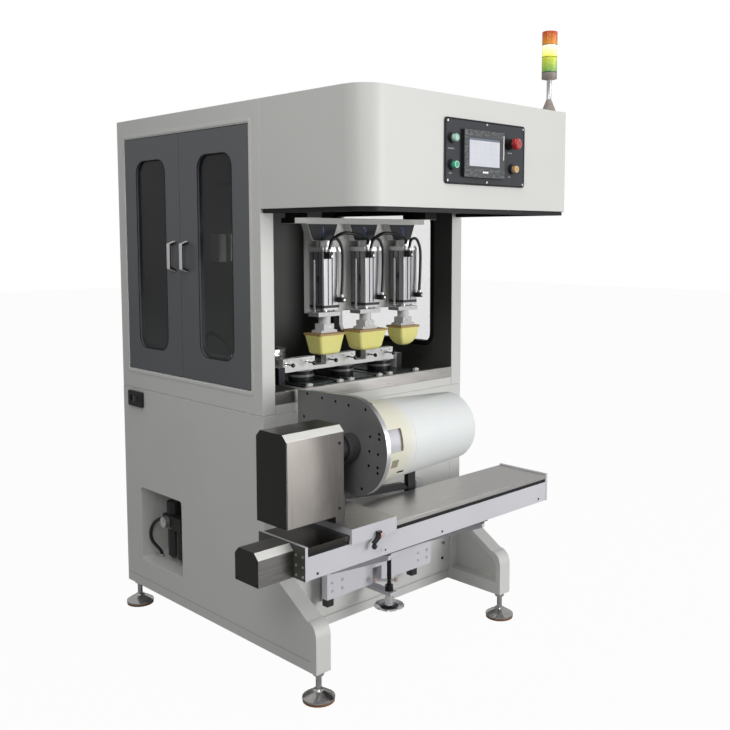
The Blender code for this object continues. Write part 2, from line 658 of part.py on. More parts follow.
# Pad cylinders: a bored square body with a head, a neck and two air fittings, and a
# hose from the upper fitting over the front of each cylinder to the lower one
CYL_BORE = 0.0114
CYL_ROUND = 0.007
HEAD_THICK = 0.014
HEAD_OVERHANG = 0.004
FIT_SIZE = 0.016
FIT_DEPTH = 0.022
FIT_DROP = 0.028
FIT_RISE = 0.032
FIT_HIGH = CYL_TOP - FIT_DROP
FIT_LOW = CYL_BOTTOM + FIT_RISE
FIT_LEFT = 0.024
FIT_RIGHT = 0.028
HOSE_RADIUS = 0.005
HOSE_CROWN = 0.038
HOSE_SIDE = 0.032
face = PAD_Y - CYL_HALF
head_face = face - HEAD_OVERHANG
head_low = CYL_TOP - HEAD_THICK
hose_y = head_face - FIT_DEPTH / 2 - HOSE_RADIUS / 2
for k, x in enumerate(pad_centres):
    shape = Shape()
    body = rounded(x - CYL_HALF, x + CYL_HALF, face, PAD_Y + CYL_HALF, CYL_ROUND, 3)
    shape.prism(body, "Z", CYL_BOTTOM, head_low + JOIN,
                (circle((x, PAD_Y), CYL_BORE, ROUND),))
    shape.box(x - CYL_HALF - HEAD_OVERHANG, x + CYL_HALF + HEAD_OVERHANG, head_face,
              PAD_Y + CYL_HALF, head_low, CYL_TOP)
    shape.rod("Z", (x, PAD_Y), CYL_HALF - CYL_ROUND, CYL_TOP - JOIN, number_low - GAP)
    shape.box(x - FIT_LEFT - FIT_SIZE / 2, x - FIT_LEFT + FIT_SIZE / 2,
              head_face - FIT_DEPTH, face + JOIN, FIT_HIGH - FIT_SIZE / 2, head_low)
    shape.box(x + FIT_RIGHT - FIT_SIZE / 2, x + FIT_RIGHT + FIT_SIZE / 2,
              head_face - FIT_DEPTH, face + JOIN, FIT_LOW - FIT_SIZE / 2,
              FIT_LOW + FIT_SIZE / 2)
    piece("pad_cylinder_" + str(k + 1), shape, ALUMINIUM)
    high = head_low + GAP
    low = FIT_LOW + FIT_SIZE / 2 + GAP
    hose("pad_hose_" + str(k + 1),
         [(x - FIT_LEFT, hose_y, high),
          (x - FIT_LEFT, hose_y, high + HOSE_RADIUS * 2),
          (x - FIT_LEFT / 2, hose_y, high + HOSE_CROWN),
          (x + FIT_RIGHT / 2, hose_y, high + HOSE_CROWN),
          (x + HOSE_SIDE, hose_y, high),
          (x + HOSE_SIDE, hose_y, (high + low) / 2),
          (x + FIT_RIGHT, hose_y, low + HOSE_RADIUS * 3),
          (x + FIT_RIGHT, hose_y, low)], HOSE_RADIUS, BLACK_PLASTIC)

# Pad rods: rod, clevis, light bracket and foot, one on each cylinder
ROD_RADIUS = 0.011
ROD_TOP = 1.300
CLEVIS_TOP = 1.140
CLEVIS_HEIGHT = 0.014
CLEVIS_HALF = 0.026
SOCKET_RADIUS = 0.020
SOCKET_BOTTOM = 1.100
BRACKET_HALF = 0.022
FOOT_HALF_X = 0.034
FOOT_HALF_Y = 0.024
FOOT_THICK = 0.008
PAD_TOP = 1.0715
PAD_BOTTOM = 1.000
GUIDE_PIN = 0.004
GUIDE_OUT = 0.042
GUIDE_TOP = 1.310
WING_THICK = 0.010
PADS = ("pad_rod_1", "pad_rod_2", "pad_rod_3")
for name, x in zip(PADS, pad_centres):
    shape = Shape()
    foot = PAD_TOP + GAP
    shape.box(x - FOOT_HALF_X, x + FOOT_HALF_X, PAD_Y - FOOT_HALF_Y,
              PAD_Y + FOOT_HALF_Y, foot, foot + FOOT_THICK)
    shape.box(x - BRACKET_HALF, x + BRACKET_HALF, PAD_Y - BRACKET_HALF,
              PAD_Y + BRACKET_HALF, foot + FOOT_THICK - JOIN, SOCKET_BOTTOM + JOIN)
    shape.rod("Z", (x, PAD_Y), SOCKET_RADIUS, SOCKET_BOTTOM,
              CLEVIS_TOP - CLEVIS_HEIGHT + JOIN)
    wing = GUIDE_OUT + WING_THICK / 2
    shape.box(x - wing, x + wing, PAD_Y - CLEVIS_HALF, PAD_Y + CLEVIS_HALF,
              CLEVIS_TOP - CLEVIS_HEIGHT, CLEVIS_TOP)
    shape.rod("Z", (x, PAD_Y), ROD_RADIUS, CLEVIS_TOP - JOIN, ROD_TOP, ROUND)
    for side in (-GUIDE_OUT, GUIDE_OUT):
        shape.rod("Z", (x + side, PAD_Y), GUIDE_PIN, CLEVIS_TOP - JOIN, GUIDE_TOP, SMALL)
    piece(name, shape, ALUMINIUM, (x, PAD_Y, CLEVIS_TOP))

# Printing pads: silicone loaves under a thin wooden board, one of them round below
BOARD_THICK = 0.006
PAD_ROUND = 0.010
PAD_LEVELS = 6


def pad_rings(shape, x, top_half_x, top_half_y, low_half_x, low_half_y, belly, pull):
    """A pad from its board down: straight tapering sides and a rounded belly."""
    bm = shape.fresh()
    rings = []
    high = PAD_TOP - BOARD_THICK
    levels = [(0.0, 0.0)]
    for i in range(PAD_LEVELS):
        turn = math.pi / 2 * i / PAD_LEVELS
        levels.append((1 - belly + belly * math.sin(turn), pull * (1 - math.cos(turn))))
    for depth, draw in levels:
        z = high - (high - PAD_BOTTOM) * depth
        share = min(depth / max(1 - belly, belly), 1.0)
        half_x = (top_half_x + (low_half_x - top_half_x) * share) * (1 - draw)
        half_y = (top_half_y + (low_half_y - top_half_y) * share) * (1 - draw)
        loop = rounded(x - half_x, x + half_x, PAD_Y - half_y, PAD_Y + half_y,
                       min(PAD_ROUND, half_y / 2), 3)
        rings.append([bm.verts.new((a, b, z)) for a, b in loop])
    for one, two in zip(rings, rings[1:]):
        for i in range(len(one)):
            j = (i + 1) % len(one)
            bm.faces.new((one[i], one[j], two[j], two[i]))
    bm.faces.new(rings[0])
    bm.faces.new(rings[-1])


PAD_HALF_X = (0.054, 0.065, 0.046)
PAD_HALF_Y = (0.042, 0.042, 0.038)
PAD_LOW_SHARES = (0.80, 0.82, 0.92)
PAD_DRAW_SHARES = (0.50, 0.50, 0.85)
PAD_BELLY_SHARES = (0.16, 0.30, 0.72)
for k, x in enumerate(pad_centres):
    shape = Shape()
    half_x, half_y = PAD_HALF_X[k], PAD_HALF_Y[k]
    low = PAD_LOW_SHARES[k]
    pad_rings(shape, x, half_x, half_y, half_x * low, half_y * low, PAD_BELLY_SHARES[k],
              PAD_DRAW_SHARES[k])
    shape.box(x - half_x, x + half_x, PAD_Y - half_y, PAD_Y + half_y,
              PAD_TOP - BOARD_THICK - JOIN, PAD_TOP)
    piece("pad_" + str(k + 1), shape, SILICONE, (x, PAD_Y, PAD_TOP))

# Left doors with round-ended windows and bow handles, hung on pins at their outer edges
DOOR_THICK = 0.022
DOOR_CLEAR = 0.002
DOOR_PANE = 0.005
DOOR_PANE_INSET = 0.008
SLOT_ROUND = 0.048
HANDLE_BOTTOM = 1.265
HANDLE_HEIGHT = 0.106
HANDLE_REACH = 0.026
HANDLE_WIDTH = 0.017
HANDLE_BAR = 0.009
HANDLE_SLOPE = 0.010
FRONT_SLOT_INSETS = (0.088, 0.107)
REAR_SLOT_INSETS = (0.087, 0.078)
FRONT_SLOT = (DOOR_FRONT_Y + FRONT_SLOT_INSETS[0], DOOR_SPLIT_Y - FRONT_SLOT_INSETS[1])
REAR_SLOT = (DOOR_SPLIT_Y + REAR_SLOT_INSETS[0], DOOR_BACK_Y - REAR_SLOT_INSETS[1])
SLOT_BOTTOM = 0.988
SLOT_TOP = 1.648
FRONT_HANDLE_INSET = 0.039
REAR_HANDLE_INSET = 0.037
FRONT_HANDLE_Y = DOOR_SPLIT_Y - FRONT_HANDLE_INSET
REAR_HANDLE_Y = DOOR_SPLIT_Y + REAR_HANDLE_INSET
HINGE_DEPTH = 0.006
HINGE_INSET = 0.010
HINGE_PIN = 0.004
HINGE_CLEAR = 0.003


def door(tag, low, high, slot, handle_y, pivot_y):
    """One door, its pane and its handle, all turning about two short upright pins."""
    pivot = (HINGE_DEPTH, pivot_y, DOOR_BOTTOM)
    hole = rounded(slot[0], slot[1], SLOT_BOTTOM, SLOT_TOP, SLOT_ROUND, 7)
    leaf = Shape()
    leaf.prism(oblong(low, high, DOOR_BOTTOM + DOOR_CLEAR, DOOR_TOP - DOOR_CLEAR),
               "X", 0.0, DOOR_THICK, (hole,))
    leaf.rod("Z", (HINGE_DEPTH, pivot_y), HINGE_PIN, DOOR_TOP - DOOR_CLEAR - JOIN,
             DOOR_TOP - GAP, SMALL)
    leaf.rod("Z", (HINGE_DEPTH, pivot_y), HINGE_PIN, DOOR_BOTTOM + GAP,
             DOOR_BOTTOM + DOOR_CLEAR + JOIN, SMALL)
    piece("door_" + tag, leaf, GREY_PAINT, pivot)
    glass = Shape()
    fitted = rounded(slot[0] + GAP, slot[1] - GAP, SLOT_BOTTOM + GAP, SLOT_TOP - GAP,
                     SLOT_ROUND - GAP, 7)
    glass.prism(fitted, "X", DOOR_PANE_INSET, DOOR_PANE_INSET + DOOR_PANE)
    piece("door_" + tag + "_pane", glass, GLASS, pivot)
    bow = Shape()
    handle_top = HANDLE_BOTTOM + HANDLE_HEIGHT
    grip = -GAP - HANDLE_REACH
    outer = [(-GAP, HANDLE_BOTTOM), (grip, HANDLE_BOTTOM + HANDLE_SLOPE),
             (grip, handle_top - HANDLE_SLOPE), (-GAP, handle_top)]
    inner = [(-GAP, HANDLE_BOTTOM + HANDLE_BAR),
             (grip + HANDLE_BAR, HANDLE_BOTTOM + HANDLE_SLOPE + HANDLE_BAR),
             (grip + HANDLE_BAR, handle_top - HANDLE_SLOPE - HANDLE_BAR),
             (-GAP, handle_top - HANDLE_BAR)]
    bow.prism([*outer, *reversed(inner)], "Y", handle_y - HANDLE_WIDTH / 2,
              handle_y + HANDLE_WIDTH / 2)
    piece("door_" + tag + "_handle", bow, CHROME, pivot)


door("front", DOOR_FRONT_Y + HINGE_CLEAR, DOOR_SPLIT_Y - DOOR_CLEAR / 2, FRONT_SLOT,
     FRONT_HANDLE_Y, DOOR_FRONT_Y + HINGE_INSET)
door("rear", DOOR_SPLIT_Y + DOOR_CLEAR / 2, DOOR_BACK_Y - HINGE_CLEAR, REAR_SLOT,
     REAR_HANDLE_Y, DOOR_BACK_Y - HINGE_INSET)

# Mains inlet and switch plate on the left side, with a rocker in its opening
INLET_INSET = 0.049
INLET_LENGTH = 0.096
INLET_BACK = CAB_DEPTH - INLET_INSET
INLET_FRONT = INLET_BACK - INLET_LENGTH
INLET_BOTTOM = 0.768
INLET_TOP = 0.824
INLET_THICK = 0.010
ROCKER_HALF_Y = 0.009
ROCKER_HALF_Z = 0.013
ROCKER_PLACE = 0.024
ROCKER_Y = INLET_FRONT + ROCKER_PLACE
ROCKER_THICK = 0.003
ROCKER_PIVOT = 0.0055
ROCKER_AXLE = 0.0014
SOCKET_HALF_Y = 0.014
SOCKET_HALF_Z = 0.011
SOCKET_PLACE = 0.067
SOCKET_Y = INLET_FRONT + SOCKET_PLACE
shape = Shape()
inlet_z = (INLET_BOTTOM + INLET_TOP) / 2
shape.prism(rounded(INLET_FRONT, INLET_BACK, INLET_BOTTOM, INLET_TOP, HOLE_RADIUS),
            "X", -GAP - INLET_THICK, -GAP,
            (oblong(ROCKER_Y - ROCKER_HALF_Y - PLAY, ROCKER_Y + ROCKER_HALF_Y + PLAY,
                    inlet_z - ROCKER_HALF_Z - PLAY, inlet_z + ROCKER_HALF_Z + PLAY),
             oblong(SOCKET_Y - SOCKET_HALF_Y, SOCKET_Y + SOCKET_HALF_Y,
                    inlet_z - SOCKET_HALF_Z, inlet_z + SOCKET_HALF_Z)))
piece("mains_inlet", shape, BLACK_PLASTIC)
shape = Shape()
shape.prism([(-ROCKER_PIVOT - ROCKER_THICK, inlet_z - ROCKER_HALF_Z),
             (-ROCKER_PIVOT - ROCKER_THICK / 2, inlet_z),
             (-ROCKER_PIVOT - ROCKER_THICK, inlet_z + ROCKER_HALF_Z),
             (-ROCKER_PIVOT, inlet_z + ROCKER_HALF_Z),
             (-ROCKER_PIVOT + ROCKER_THICK, inlet_z),
             (-ROCKER_PIVOT, inlet_z - ROCKER_HALF_Z)], "Y",
            ROCKER_Y - ROCKER_HALF_Y, ROCKER_Y + ROCKER_HALF_Y)
axle_reach = ROCKER_HALF_Y + PLAY - GAP
shape.rod("Y", (-ROCKER_PIVOT, inlet_z), ROCKER_AXLE, ROCKER_Y - axle_reach,
          ROCKER_Y + axle_reach, SMALL)
piece("mains_rocker", shape, BLACK_PLASTIC, (-ROCKER_PIVOT, ROCKER_Y, inlet_z))

# Alcove behind the opening in the left side, with the air unit on its back wall
ALCOVE_DEPTH = 0.150
ALCOVE_WALL = 0.004
shape = Shape()
alcove_left = SIDE_THICK + GAP
alcove_right = alcove_left + ALCOVE_DEPTH
shape.prism(rounded(ALCOVE_FRONT - ALCOVE_WALL, ALCOVE_BACK + ALCOVE_WALL,
                    ALCOVE_BOTTOM - ALCOVE_WALL, ALCOVE_TOP + ALCOVE_WALL,
                    ALCOVE_ROUND + ALCOVE_WALL), "X", alcove_left, alcove_right,
            (rounded(ALCOVE_FRONT, ALCOVE_BACK, ALCOVE_BOTTOM, ALCOVE_TOP,
                     ALCOVE_ROUND),))
shape.prism(rounded(ALCOVE_FRONT - ALCOVE_WALL, ALCOVE_BACK + ALCOVE_WALL,
                    ALCOVE_BOTTOM - ALCOVE_WALL, ALCOVE_TOP + ALCOVE_WALL,
                    ALCOVE_ROUND + ALCOVE_WALL), "X", alcove_right - JOIN,
            alcove_right + ALCOVE_WALL)
piece("alcove_box", shape, GREY_PAINT)

UNIT_X = 0.070
UNIT_INSET = 0.110
UNIT_Y = ALCOVE_BACK - UNIT_INSET
UNIT_HALF = 0.030
UNIT_BOTTOM = 0.330
UNIT_TOP = 0.378
BOWL_RADIUS = 0.023
BOWL_BOTTOM = 0.214
GAUGE_RADIUS = 0.020
GAUGE_REACH = 0.014
OILER_GAP = 0.058
UNIT_BRACKET = 0.012
shape = Shape()
wall_face = alcove_right - JOIN - GAP
for y in (UNIT_Y, UNIT_Y - OILER_GAP):
    shape.box(UNIT_X - UNIT_HALF, UNIT_X + UNIT_HALF, y - UNIT_HALF, y + UNIT_HALF,
              UNIT_BOTTOM, UNIT_TOP)
    shape.turned("Z", (UNIT_X, y), [(0.0, BOWL_BOTTOM),
                                    (BOWL_RADIUS / 2, BOWL_BOTTOM),
                                    (BOWL_RADIUS, BOWL_BOTTOM + BOWL_RADIUS / 2),
                                    (BOWL_RADIUS, UNIT_BOTTOM + JOIN),
                                    (0.0, UNIT_BOTTOM + JOIN)], ROUND)
    shape.box(UNIT_X + UNIT_HALF - JOIN, wall_face, y - UNIT_BRACKET, y + UNIT_BRACKET,
              UNIT_BOTTOM + UNIT_BRACKET, UNIT_TOP - UNIT_BRACKET)
shape.rod("X", (UNIT_Y, (UNIT_BOTTOM + UNIT_TOP) / 2), GAUGE_RADIUS,
          UNIT_X - UNIT_HALF - GAUGE_REACH, UNIT_X - UNIT_HALF + JOIN, ROUND)
piece("air_unit", shape, ALUMINIUM)
AIR_KNOB = 0.026
AIR_KNOB_TOP = 0.425
shape = Shape()
grip = []
for i in range(2 * SMALL):
    turn = math.pi * i / SMALL
    wide = AIR_KNOB if i % 2 else AIR_KNOB - PLAY
    grip.append((UNIT_X + wide * math.cos(turn), UNIT_Y + wide * math.sin(turn)))
shape.prism(grip, "Z", UNIT_TOP + GAP, AIR_KNOB_TOP)
piece("regulator_knob", shape, BLACK_PLASTIC, (UNIT_X, UNIT_Y, UNIT_TOP))
AIR_HOSE = 0.006
AIR_STEPS = ((0.0, 0.0, 0.0), (0.0, 0.012, 0.0), (-0.023, 0.055, -0.018),
             (-0.036, 0.072, -0.054), (-0.034, 0.070, -0.092), (-0.013, 0.052, -0.129),
             (-0.008, 0.047, -0.1447))
unit_side = UNIT_Y + UNIT_HALF + GAP
unit_mid = (UNIT_BOTTOM + UNIT_TOP) / 2
alcove_floor = ALCOVE_BOTTOM + GAP
air_route = [(UNIT_X + a, unit_side + b, unit_mid + c) for a, b, c in AIR_STEPS]
hose("air_hose", [*air_route, (air_route[-1][0], air_route[-1][1], alcove_floor)],
     AIR_HOSE, BLACK_PLASTIC)

# Levelling feet: chrome dish, stem and lock nut, with a rubber sole
SOLE_THICK = 0.009
DISH_EDGE = 0.005
DISH_RISE = 0.022
DISH_SHARES = (0.7, 1.2, 1.4)
DISH_NECK = 0.017
STEM_RADIUS = 0.009
NUT_RADIUS = 0.0150
NUT_HEIGHT = 0.013
dish_low = SOLE_THICK - JOIN
foot_top = BASE_BOTTOM - GAP
foot_places = [(x, y) for x in (SIDE_THICK / 2, CAB_WIDTH - SIDE_THICK / 2)
               for y in (FRONT_FOOT_Y, REAR_FOOT_Y)]
for k, place in enumerate(foot_places):
    shape = Shape()
    shape.turned("Z", place,
                 [(0.0, dish_low), (FOOT_RADIUS, dish_low),
                  (FOOT_RADIUS, dish_low + DISH_EDGE),
                  (FOOT_RADIUS / 2 + DISH_NECK / 2, dish_low + DISH_RISE * DISH_SHARES[0]),
                  (DISH_NECK, dish_low + DISH_RISE),
                  (DISH_NECK, dish_low + DISH_RISE * DISH_SHARES[1]),
                  (STEM_RADIUS, dish_low + DISH_RISE * DISH_SHARES[2]),
                  (STEM_RADIUS, foot_top - NUT_HEIGHT),
                  (NUT_RADIUS, foot_top - NUT_HEIGHT), (NUT_RADIUS, foot_top),
                  (0.0, foot_top)], ROUND)
    shape.rod("Z", place, FOOT_RADIUS - PLAY, 0.0, SOLE_THICK, ROUND)
    piece("levelling_foot_" + str(k + 1), shape, CHROME)

# Operator panel on the hood's front, with a touch screen and four push buttons
PANEL_LEFT = 0.318
PANEL_RIGHT = 0.694
PANEL_BOTTOM = 1.538
PANEL_TOP = 1.729
PANEL_ROUND = 0.010
BEZEL_DEPTH = 0.0125
BEZEL_LEFT = 0.390
BEZEL_RIGHT = 0.579
BEZEL_BOTTOM = 1.560
BEZEL_TOP = 1.699
BEZEL_SIDE = 0.023
BEZEL_HEAD = 0.023
BEZEL_CHIN = 0.033
GLASS_SINK = 0.002
BUTTON_RADIUS = 0.0110
BUTTON_REACH = 0.021
BUTTON_BACK = 0.004
COLLAR_RADIUS = 0.0155
COLLAR_DEPTH = 0.010
BUTTON_LEFT_X = 0.347
BUTTON_RIGHT_X = 0.629
BUTTON_HIGH = 1.670
BUTTON_LOW = 1.593
STOP_X = 0.612
STOP_Z = 1.668
STOP_RADIUS = 0.0175
STOP_HEAD = 0.018
STOP_STEM = 0.009
STOP_CROWN_SHARE = 0.7
STEM_DEPTH_SHARE = 1.5
STOP_BASE = 0.017
STOP_BASE_DEPTH = 0.014
SCREW_RADIUS = 0.0035
SCREW_HEIGHT = 0.002
SCREW_INSET = 0.010
face = HOOD_FRONT - GAP - PANEL_PLATE
collar_back = face - GAP
buttons = (("start_button", BUTTON_LEFT_X, BUTTON_HIGH, (0.35, 0.80, 0.62)),
           ("run_button", BUTTON_LEFT_X, BUTTON_LOW, (0.06, 0.42, 0.26)),
           ("reset_button", BUTTON_RIGHT_X, BUTTON_LOW, (0.85, 0.50, 0.18)))
shape = Shape()
shape.prism(rounded(PANEL_LEFT, PANEL_RIGHT, PANEL_BOTTOM, PANEL_TOP, PANEL_ROUND),
            "Y", face, face + PANEL_PLATE)
for name, x, z, colour in buttons:
    shape.rod("Y", (x, z), COLLAR_RADIUS, face - COLLAR_DEPTH, face + JOIN, ROUND,
              BUTTON_RADIUS + PLAY)
shape.rod("Y", (STOP_X, STOP_Z), STOP_BASE, face - STOP_BASE_DEPTH, face + JOIN,
          ROUND, STOP_STEM + PLAY)
panel_middle = (PANEL_LEFT + PANEL_RIGHT) / 2
for x in (PANEL_LEFT + SCREW_INSET, panel_middle, PANEL_RIGHT - SCREW_INSET):
    for z in (PANEL_BOTTOM + SCREW_INSET, PANEL_TOP - SCREW_INSET):
        shape.rod("Y", (x, z), SCREW_RADIUS, face - SCREW_HEIGHT, face + JOIN, SMALL)
piece("control_panel", shape, DARK_PLATE)
shape = Shape()
shape.prism(oblong(BEZEL_LEFT, BEZEL_RIGHT, BEZEL_BOTTOM, BEZEL_TOP), "Y",
            collar_back - BEZEL_DEPTH, collar_back,
            (oblong(BEZEL_LEFT + BEZEL_SIDE, BEZEL_RIGHT - BEZEL_SIDE,
                    BEZEL_BOTTOM + BEZEL_CHIN, BEZEL_TOP - BEZEL_HEAD),))
shape.box(BEZEL_LEFT + BEZEL_SIDE - JOIN, BEZEL_RIGHT - BEZEL_SIDE + JOIN,
          collar_back - BEZEL_DEPTH + GLASS_SINK, collar_back,
          BEZEL_BOTTOM + BEZEL_CHIN - JOIN, BEZEL_TOP - BEZEL_HEAD + JOIN)
piece("touch_screen", shape, BLACK_PLASTIC)
for name, x, z, colour in buttons:
    shape = Shape()
    front = face - BUTTON_REACH
    shape.turned("Y", (x, z), [(0.0, front), (BUTTON_RADIUS - PLAY, front),
                               (BUTTON_RADIUS, front + PLAY),
                               (BUTTON_RADIUS, face - BUTTON_BACK),
                               (0.0, face - BUTTON_BACK)], ROUND)
    piece(name, shape, (colour, 0.30, 0.0), (x, front, z))
shape = Shape()
front = face - STOP_REACH
shape.turned("Y", (STOP_X, STOP_Z),
             [(0.0, front), (STOP_RADIUS * STOP_CROWN_SHARE, front), (STOP_RADIUS, front + PLAY * 5),
              (STOP_RADIUS, front + STOP_HEAD), (STOP_STEM, front + STOP_HEAD),
              (STOP_STEM, face - BUTTON_BACK * STEM_DEPTH_SHARE),
              (0.0, face - BUTTON_BACK * STEM_DEPTH_SHARE)],
             ROUND)
piece("emergency_stop", shape, ((0.62, 0.03, 0.035), 0.35, 0.0), (STOP_X, front, STOP_Z))

# Signal tower on the hood: foot, pole, base and three lamp rings
TOWER_INSET = 0.041
TOWER_X = CAB_WIDTH - TOWER_INSET
TOWER_Y = HOOD_FRONT + TOWER_INSET
TOWER_FOOT = 0.022
TOWER_FOOT_HEIGHT = 0.042
TOWER_POLE = 0.008
TOWER_BASE_RISE = 0.105
TOWER_BASE_LEVEL = CAB_TOP + TOWER_BASE_RISE
LAMP_RADIUS = 0.025
GREEN_RISE = 0.130
YELLOW_RISE = 0.179
RED_RISE = 0.218
TOWER_RISE = 0.261
GREEN_LEVEL = CAB_TOP + GREEN_RISE
YELLOW_LEVEL = CAB_TOP + YELLOW_RISE
RED_LEVEL = CAB_TOP + RED_RISE
TOWER_TOP = CAB_TOP + TOWER_RISE
low = CAB_TOP + GAP
profile = [(0.0, low), (TOWER_FOOT, low), (TOWER_FOOT, low + TOWER_POLE),
           (TOWER_POLE, low + TOWER_FOOT_HEIGHT), (TOWER_POLE, TOWER_BASE_LEVEL),
           (LAMP_RADIUS, TOWER_BASE_LEVEL + TOWER_POLE / 2)]
for level in (GREEN_LEVEL, YELLOW_LEVEL, RED_LEVEL):
    profile += [(LAMP_RADIUS, level - PLAY), (LAMP_RADIUS - PLAY, level),
                (LAMP_RADIUS, level + PLAY)]
profile += [(LAMP_RADIUS, TOWER_TOP - PLAY), (LAMP_RADIUS - PLAY, TOWER_TOP),
            (0.0, TOWER_TOP)]
shape = Shape()
shape.turned("Z", (TOWER_X, TOWER_Y), profile, ROUND)
piece("signal_tower", shape, ((0.90, 0.55, 0.10), 0.30, 0.0))

# Slide: a long channel with a rail on each side, closed ends and a bridging cover
SLIDE_WALL = 0.010
SLIDE_FLOOR = 0.012
SLIDE_SLOT = 0.011
COVER_THICK = 0.0145
END_THICK = 0.010
END_RISE = 0.004
RAIL_WIDTH = 0.020
RAIL_TALL = 0.020
SLIDE_RAIL_INSET = 0.020
channel_left = SLIDE_LEFT + END_THICK + GAP
channel_right = SLIDE_RIGHT - END_THICK - GAP
cover_bottom = SLIDE_TOP - COVER_THICK
wall_top = cover_bottom - SLIDE_SLOT
floor_top = SLIDE_BOTTOM + SLIDE_FLOOR
shape = Shape()
shape.prism([(SLIDE_FRONT, SLIDE_BOTTOM), (SLIDE_BACK, SLIDE_BOTTOM),
             (SLIDE_BACK, wall_top), (SLIDE_BACK - SLIDE_WALL, wall_top),
             (SLIDE_BACK - SLIDE_WALL, floor_top), (SLIDE_FRONT + SLIDE_WALL, floor_top),
             (SLIDE_FRONT + SLIDE_WALL, wall_top), (SLIDE_FRONT, wall_top)],
            "X", SLIDE_LEFT + END_THICK - JOIN, SLIDE_RIGHT - END_THICK + JOIN)
rail_places = (SLIDE_FRONT + SLIDE_WALL + SLIDE_RAIL_INSET,
               SLIDE_BACK - SLIDE_WALL - SLIDE_RAIL_INSET - RAIL_WIDTH)
for y in rail_places:
    shape.box(SLIDE_LEFT + END_THICK - JOIN, SLIDE_RIGHT - END_THICK + JOIN, y,
              y + RAIL_WIDTH, floor_top - JOIN, floor_top + RAIL_TALL)
channel = shape
shape = Shape()
shape.box(channel_left, channel_right, SLIDE_FRONT, SLIDE_BACK, cover_bottom, SLIDE_TOP)
piece("slide_cover", shape, STAINLESS)
shape = channel
for left in (SLIDE_LEFT, SLIDE_RIGHT - END_THICK):
    shape.box(left, left + END_THICK, SLIDE_FRONT - PLAY, SLIDE_BACK + PLAY,
              SLIDE_BOTTOM - PLAY, SLIDE_TOP + END_RISE)

# Cable chain behind the slide, as one drooping strip, with the post that carries it
CHAIN_FRONT = -0.1175
CHAIN_WIDTH = 0.019
CHAIN_TALL = 0.023
CHAIN_LINE = ((0.232, 0.551), (0.300, 0.545), (0.370, 0.539), (0.440, 0.535),
              (0.500, 0.531))
CHAIN_POST_LEFT = 0.522
CHAIN_POST_RIGHT = 0.557
CHAIN_POST_LOW = 0.470
CHAIN_POST_HIGH = 0.588
CHAIN_POST_FOOT = 0.498
chain_back = CHAIN_FRONT + CHAIN_WIDTH
strip = [*CHAIN_LINE, (CHAIN_POST_LEFT + JOIN, CHAIN_LINE[-1][1])]
strip += [(x, z + CHAIN_TALL) for x, z in reversed(CHAIN_LINE)]
shape.prism(strip, "Y", CHAIN_FRONT, chain_back)
shape.box(CHAIN_POST_LEFT, CHAIN_POST_RIGHT, CHAIN_FRONT, chain_back, CHAIN_POST_LOW,
          CHAIN_POST_HIGH)
shape.box(CHAIN_POST_LEFT, CHAIN_POST_RIGHT, SLIDE_BACK - JOIN, chain_back, CHAIN_POST_LOW,
          CHAIN_POST_FOOT)
piece("slide_channel", shape, SILVER_FACE)
rail_top = floor_top + RAIL_TALL

# Drive screw inside the slide
SCREW_Y = (SLIDE_FRONT + SLIDE_BACK) / 2
DRIVE_RADIUS = 0.008
SCREW_LIFT = 0.001
screw_z = floor_top + DRIVE_RADIUS + PLAY + SCREW_LIFT
shape = Shape()
shape.rod("X", (SCREW_Y, screw_z), DRIVE_RADIUS, channel_left, channel_right, SMALL)
piece("slide_screw", shape, ALUMINIUM, (channel_left, SCREW_Y, screw_z))

# Motor cover on the slide's left end
MOTOR_FRONT = -0.290
MOTOR_DEPTH = 0.107
MOTOR_BOTTOM = 0.437
MOTOR_TOP = 0.532
MOTOR_CHAMFER = 0.018
motor_right = SLIDE_LEFT - GAP
motor_back = MOTOR_FRONT + MOTOR_DEPTH
shape = Shape()
shape.prism([(MOTOR_FRONT, MOTOR_BOTTOM), (motor_back, MOTOR_BOTTOM),
             (motor_back, MOTOR_TOP - MOTOR_CHAMFER),
             (motor_back - MOTOR_CHAMFER, MOTOR_TOP),
             (MOTOR_FRONT + MOTOR_CHAMFER, MOTOR_TOP),
             (MOTOR_FRONT, MOTOR_TOP - MOTOR_CHAMFER)],
            "X", motor_right - MOTOR_LENGTH, motor_right)
piece("motor_cover", shape, STAINLESS)

# Saddle: rides on the slide's rails, passes through both slots and over the cover
SADDLE_LEFT = 0.047
SADDLE_RIGHT = 0.230
SADDLE_SKIRT = 0.011
SADDLE_TOP = 0.550
NUT_HALF = 0.020
WING_CLEAR = 0.0015
saddle_low = rail_top + GAP
wing_low = wall_top + PLAY
skirt_front = SLIDE_FRONT - SADDLE_SKIRT
skirt_back = SLIDE_BACK + SADDLE_SKIRT
inner_front = SLIDE_FRONT + SLIDE_WALL + WING_CLEAR
inner_back = SLIDE_BACK - SLIDE_WALL - WING_CLEAR
nut_low = floor_top + PLAY / 2
shape = Shape()
shape.prism([(skirt_front, wing_low), (inner_front, wing_low), (inner_front, saddle_low),
             (SCREW_Y - NUT_HALF, saddle_low), (SCREW_Y - NUT_HALF, nut_low),
             (SCREW_Y + NUT_HALF, nut_low), (SCREW_Y + NUT_HALF, saddle_low),
             (inner_back, saddle_low), (inner_back, wing_low), (skirt_back, wing_low),
             (skirt_back, SADDLE_TOP), (skirt_front, SADDLE_TOP)],
            "X", SADDLE_LEFT, SADDLE_RIGHT,
            (oblong(SLIDE_FRONT - WING_CLEAR, SLIDE_BACK + WING_CLEAR,
                    cover_bottom - PLAY, SLIDE_TOP + PLAY),
             circle((SCREW_Y, screw_z), DRIVE_RADIUS + PLAY / 2, ROUND)))
piece("saddle", shape, SILVER_FACE)

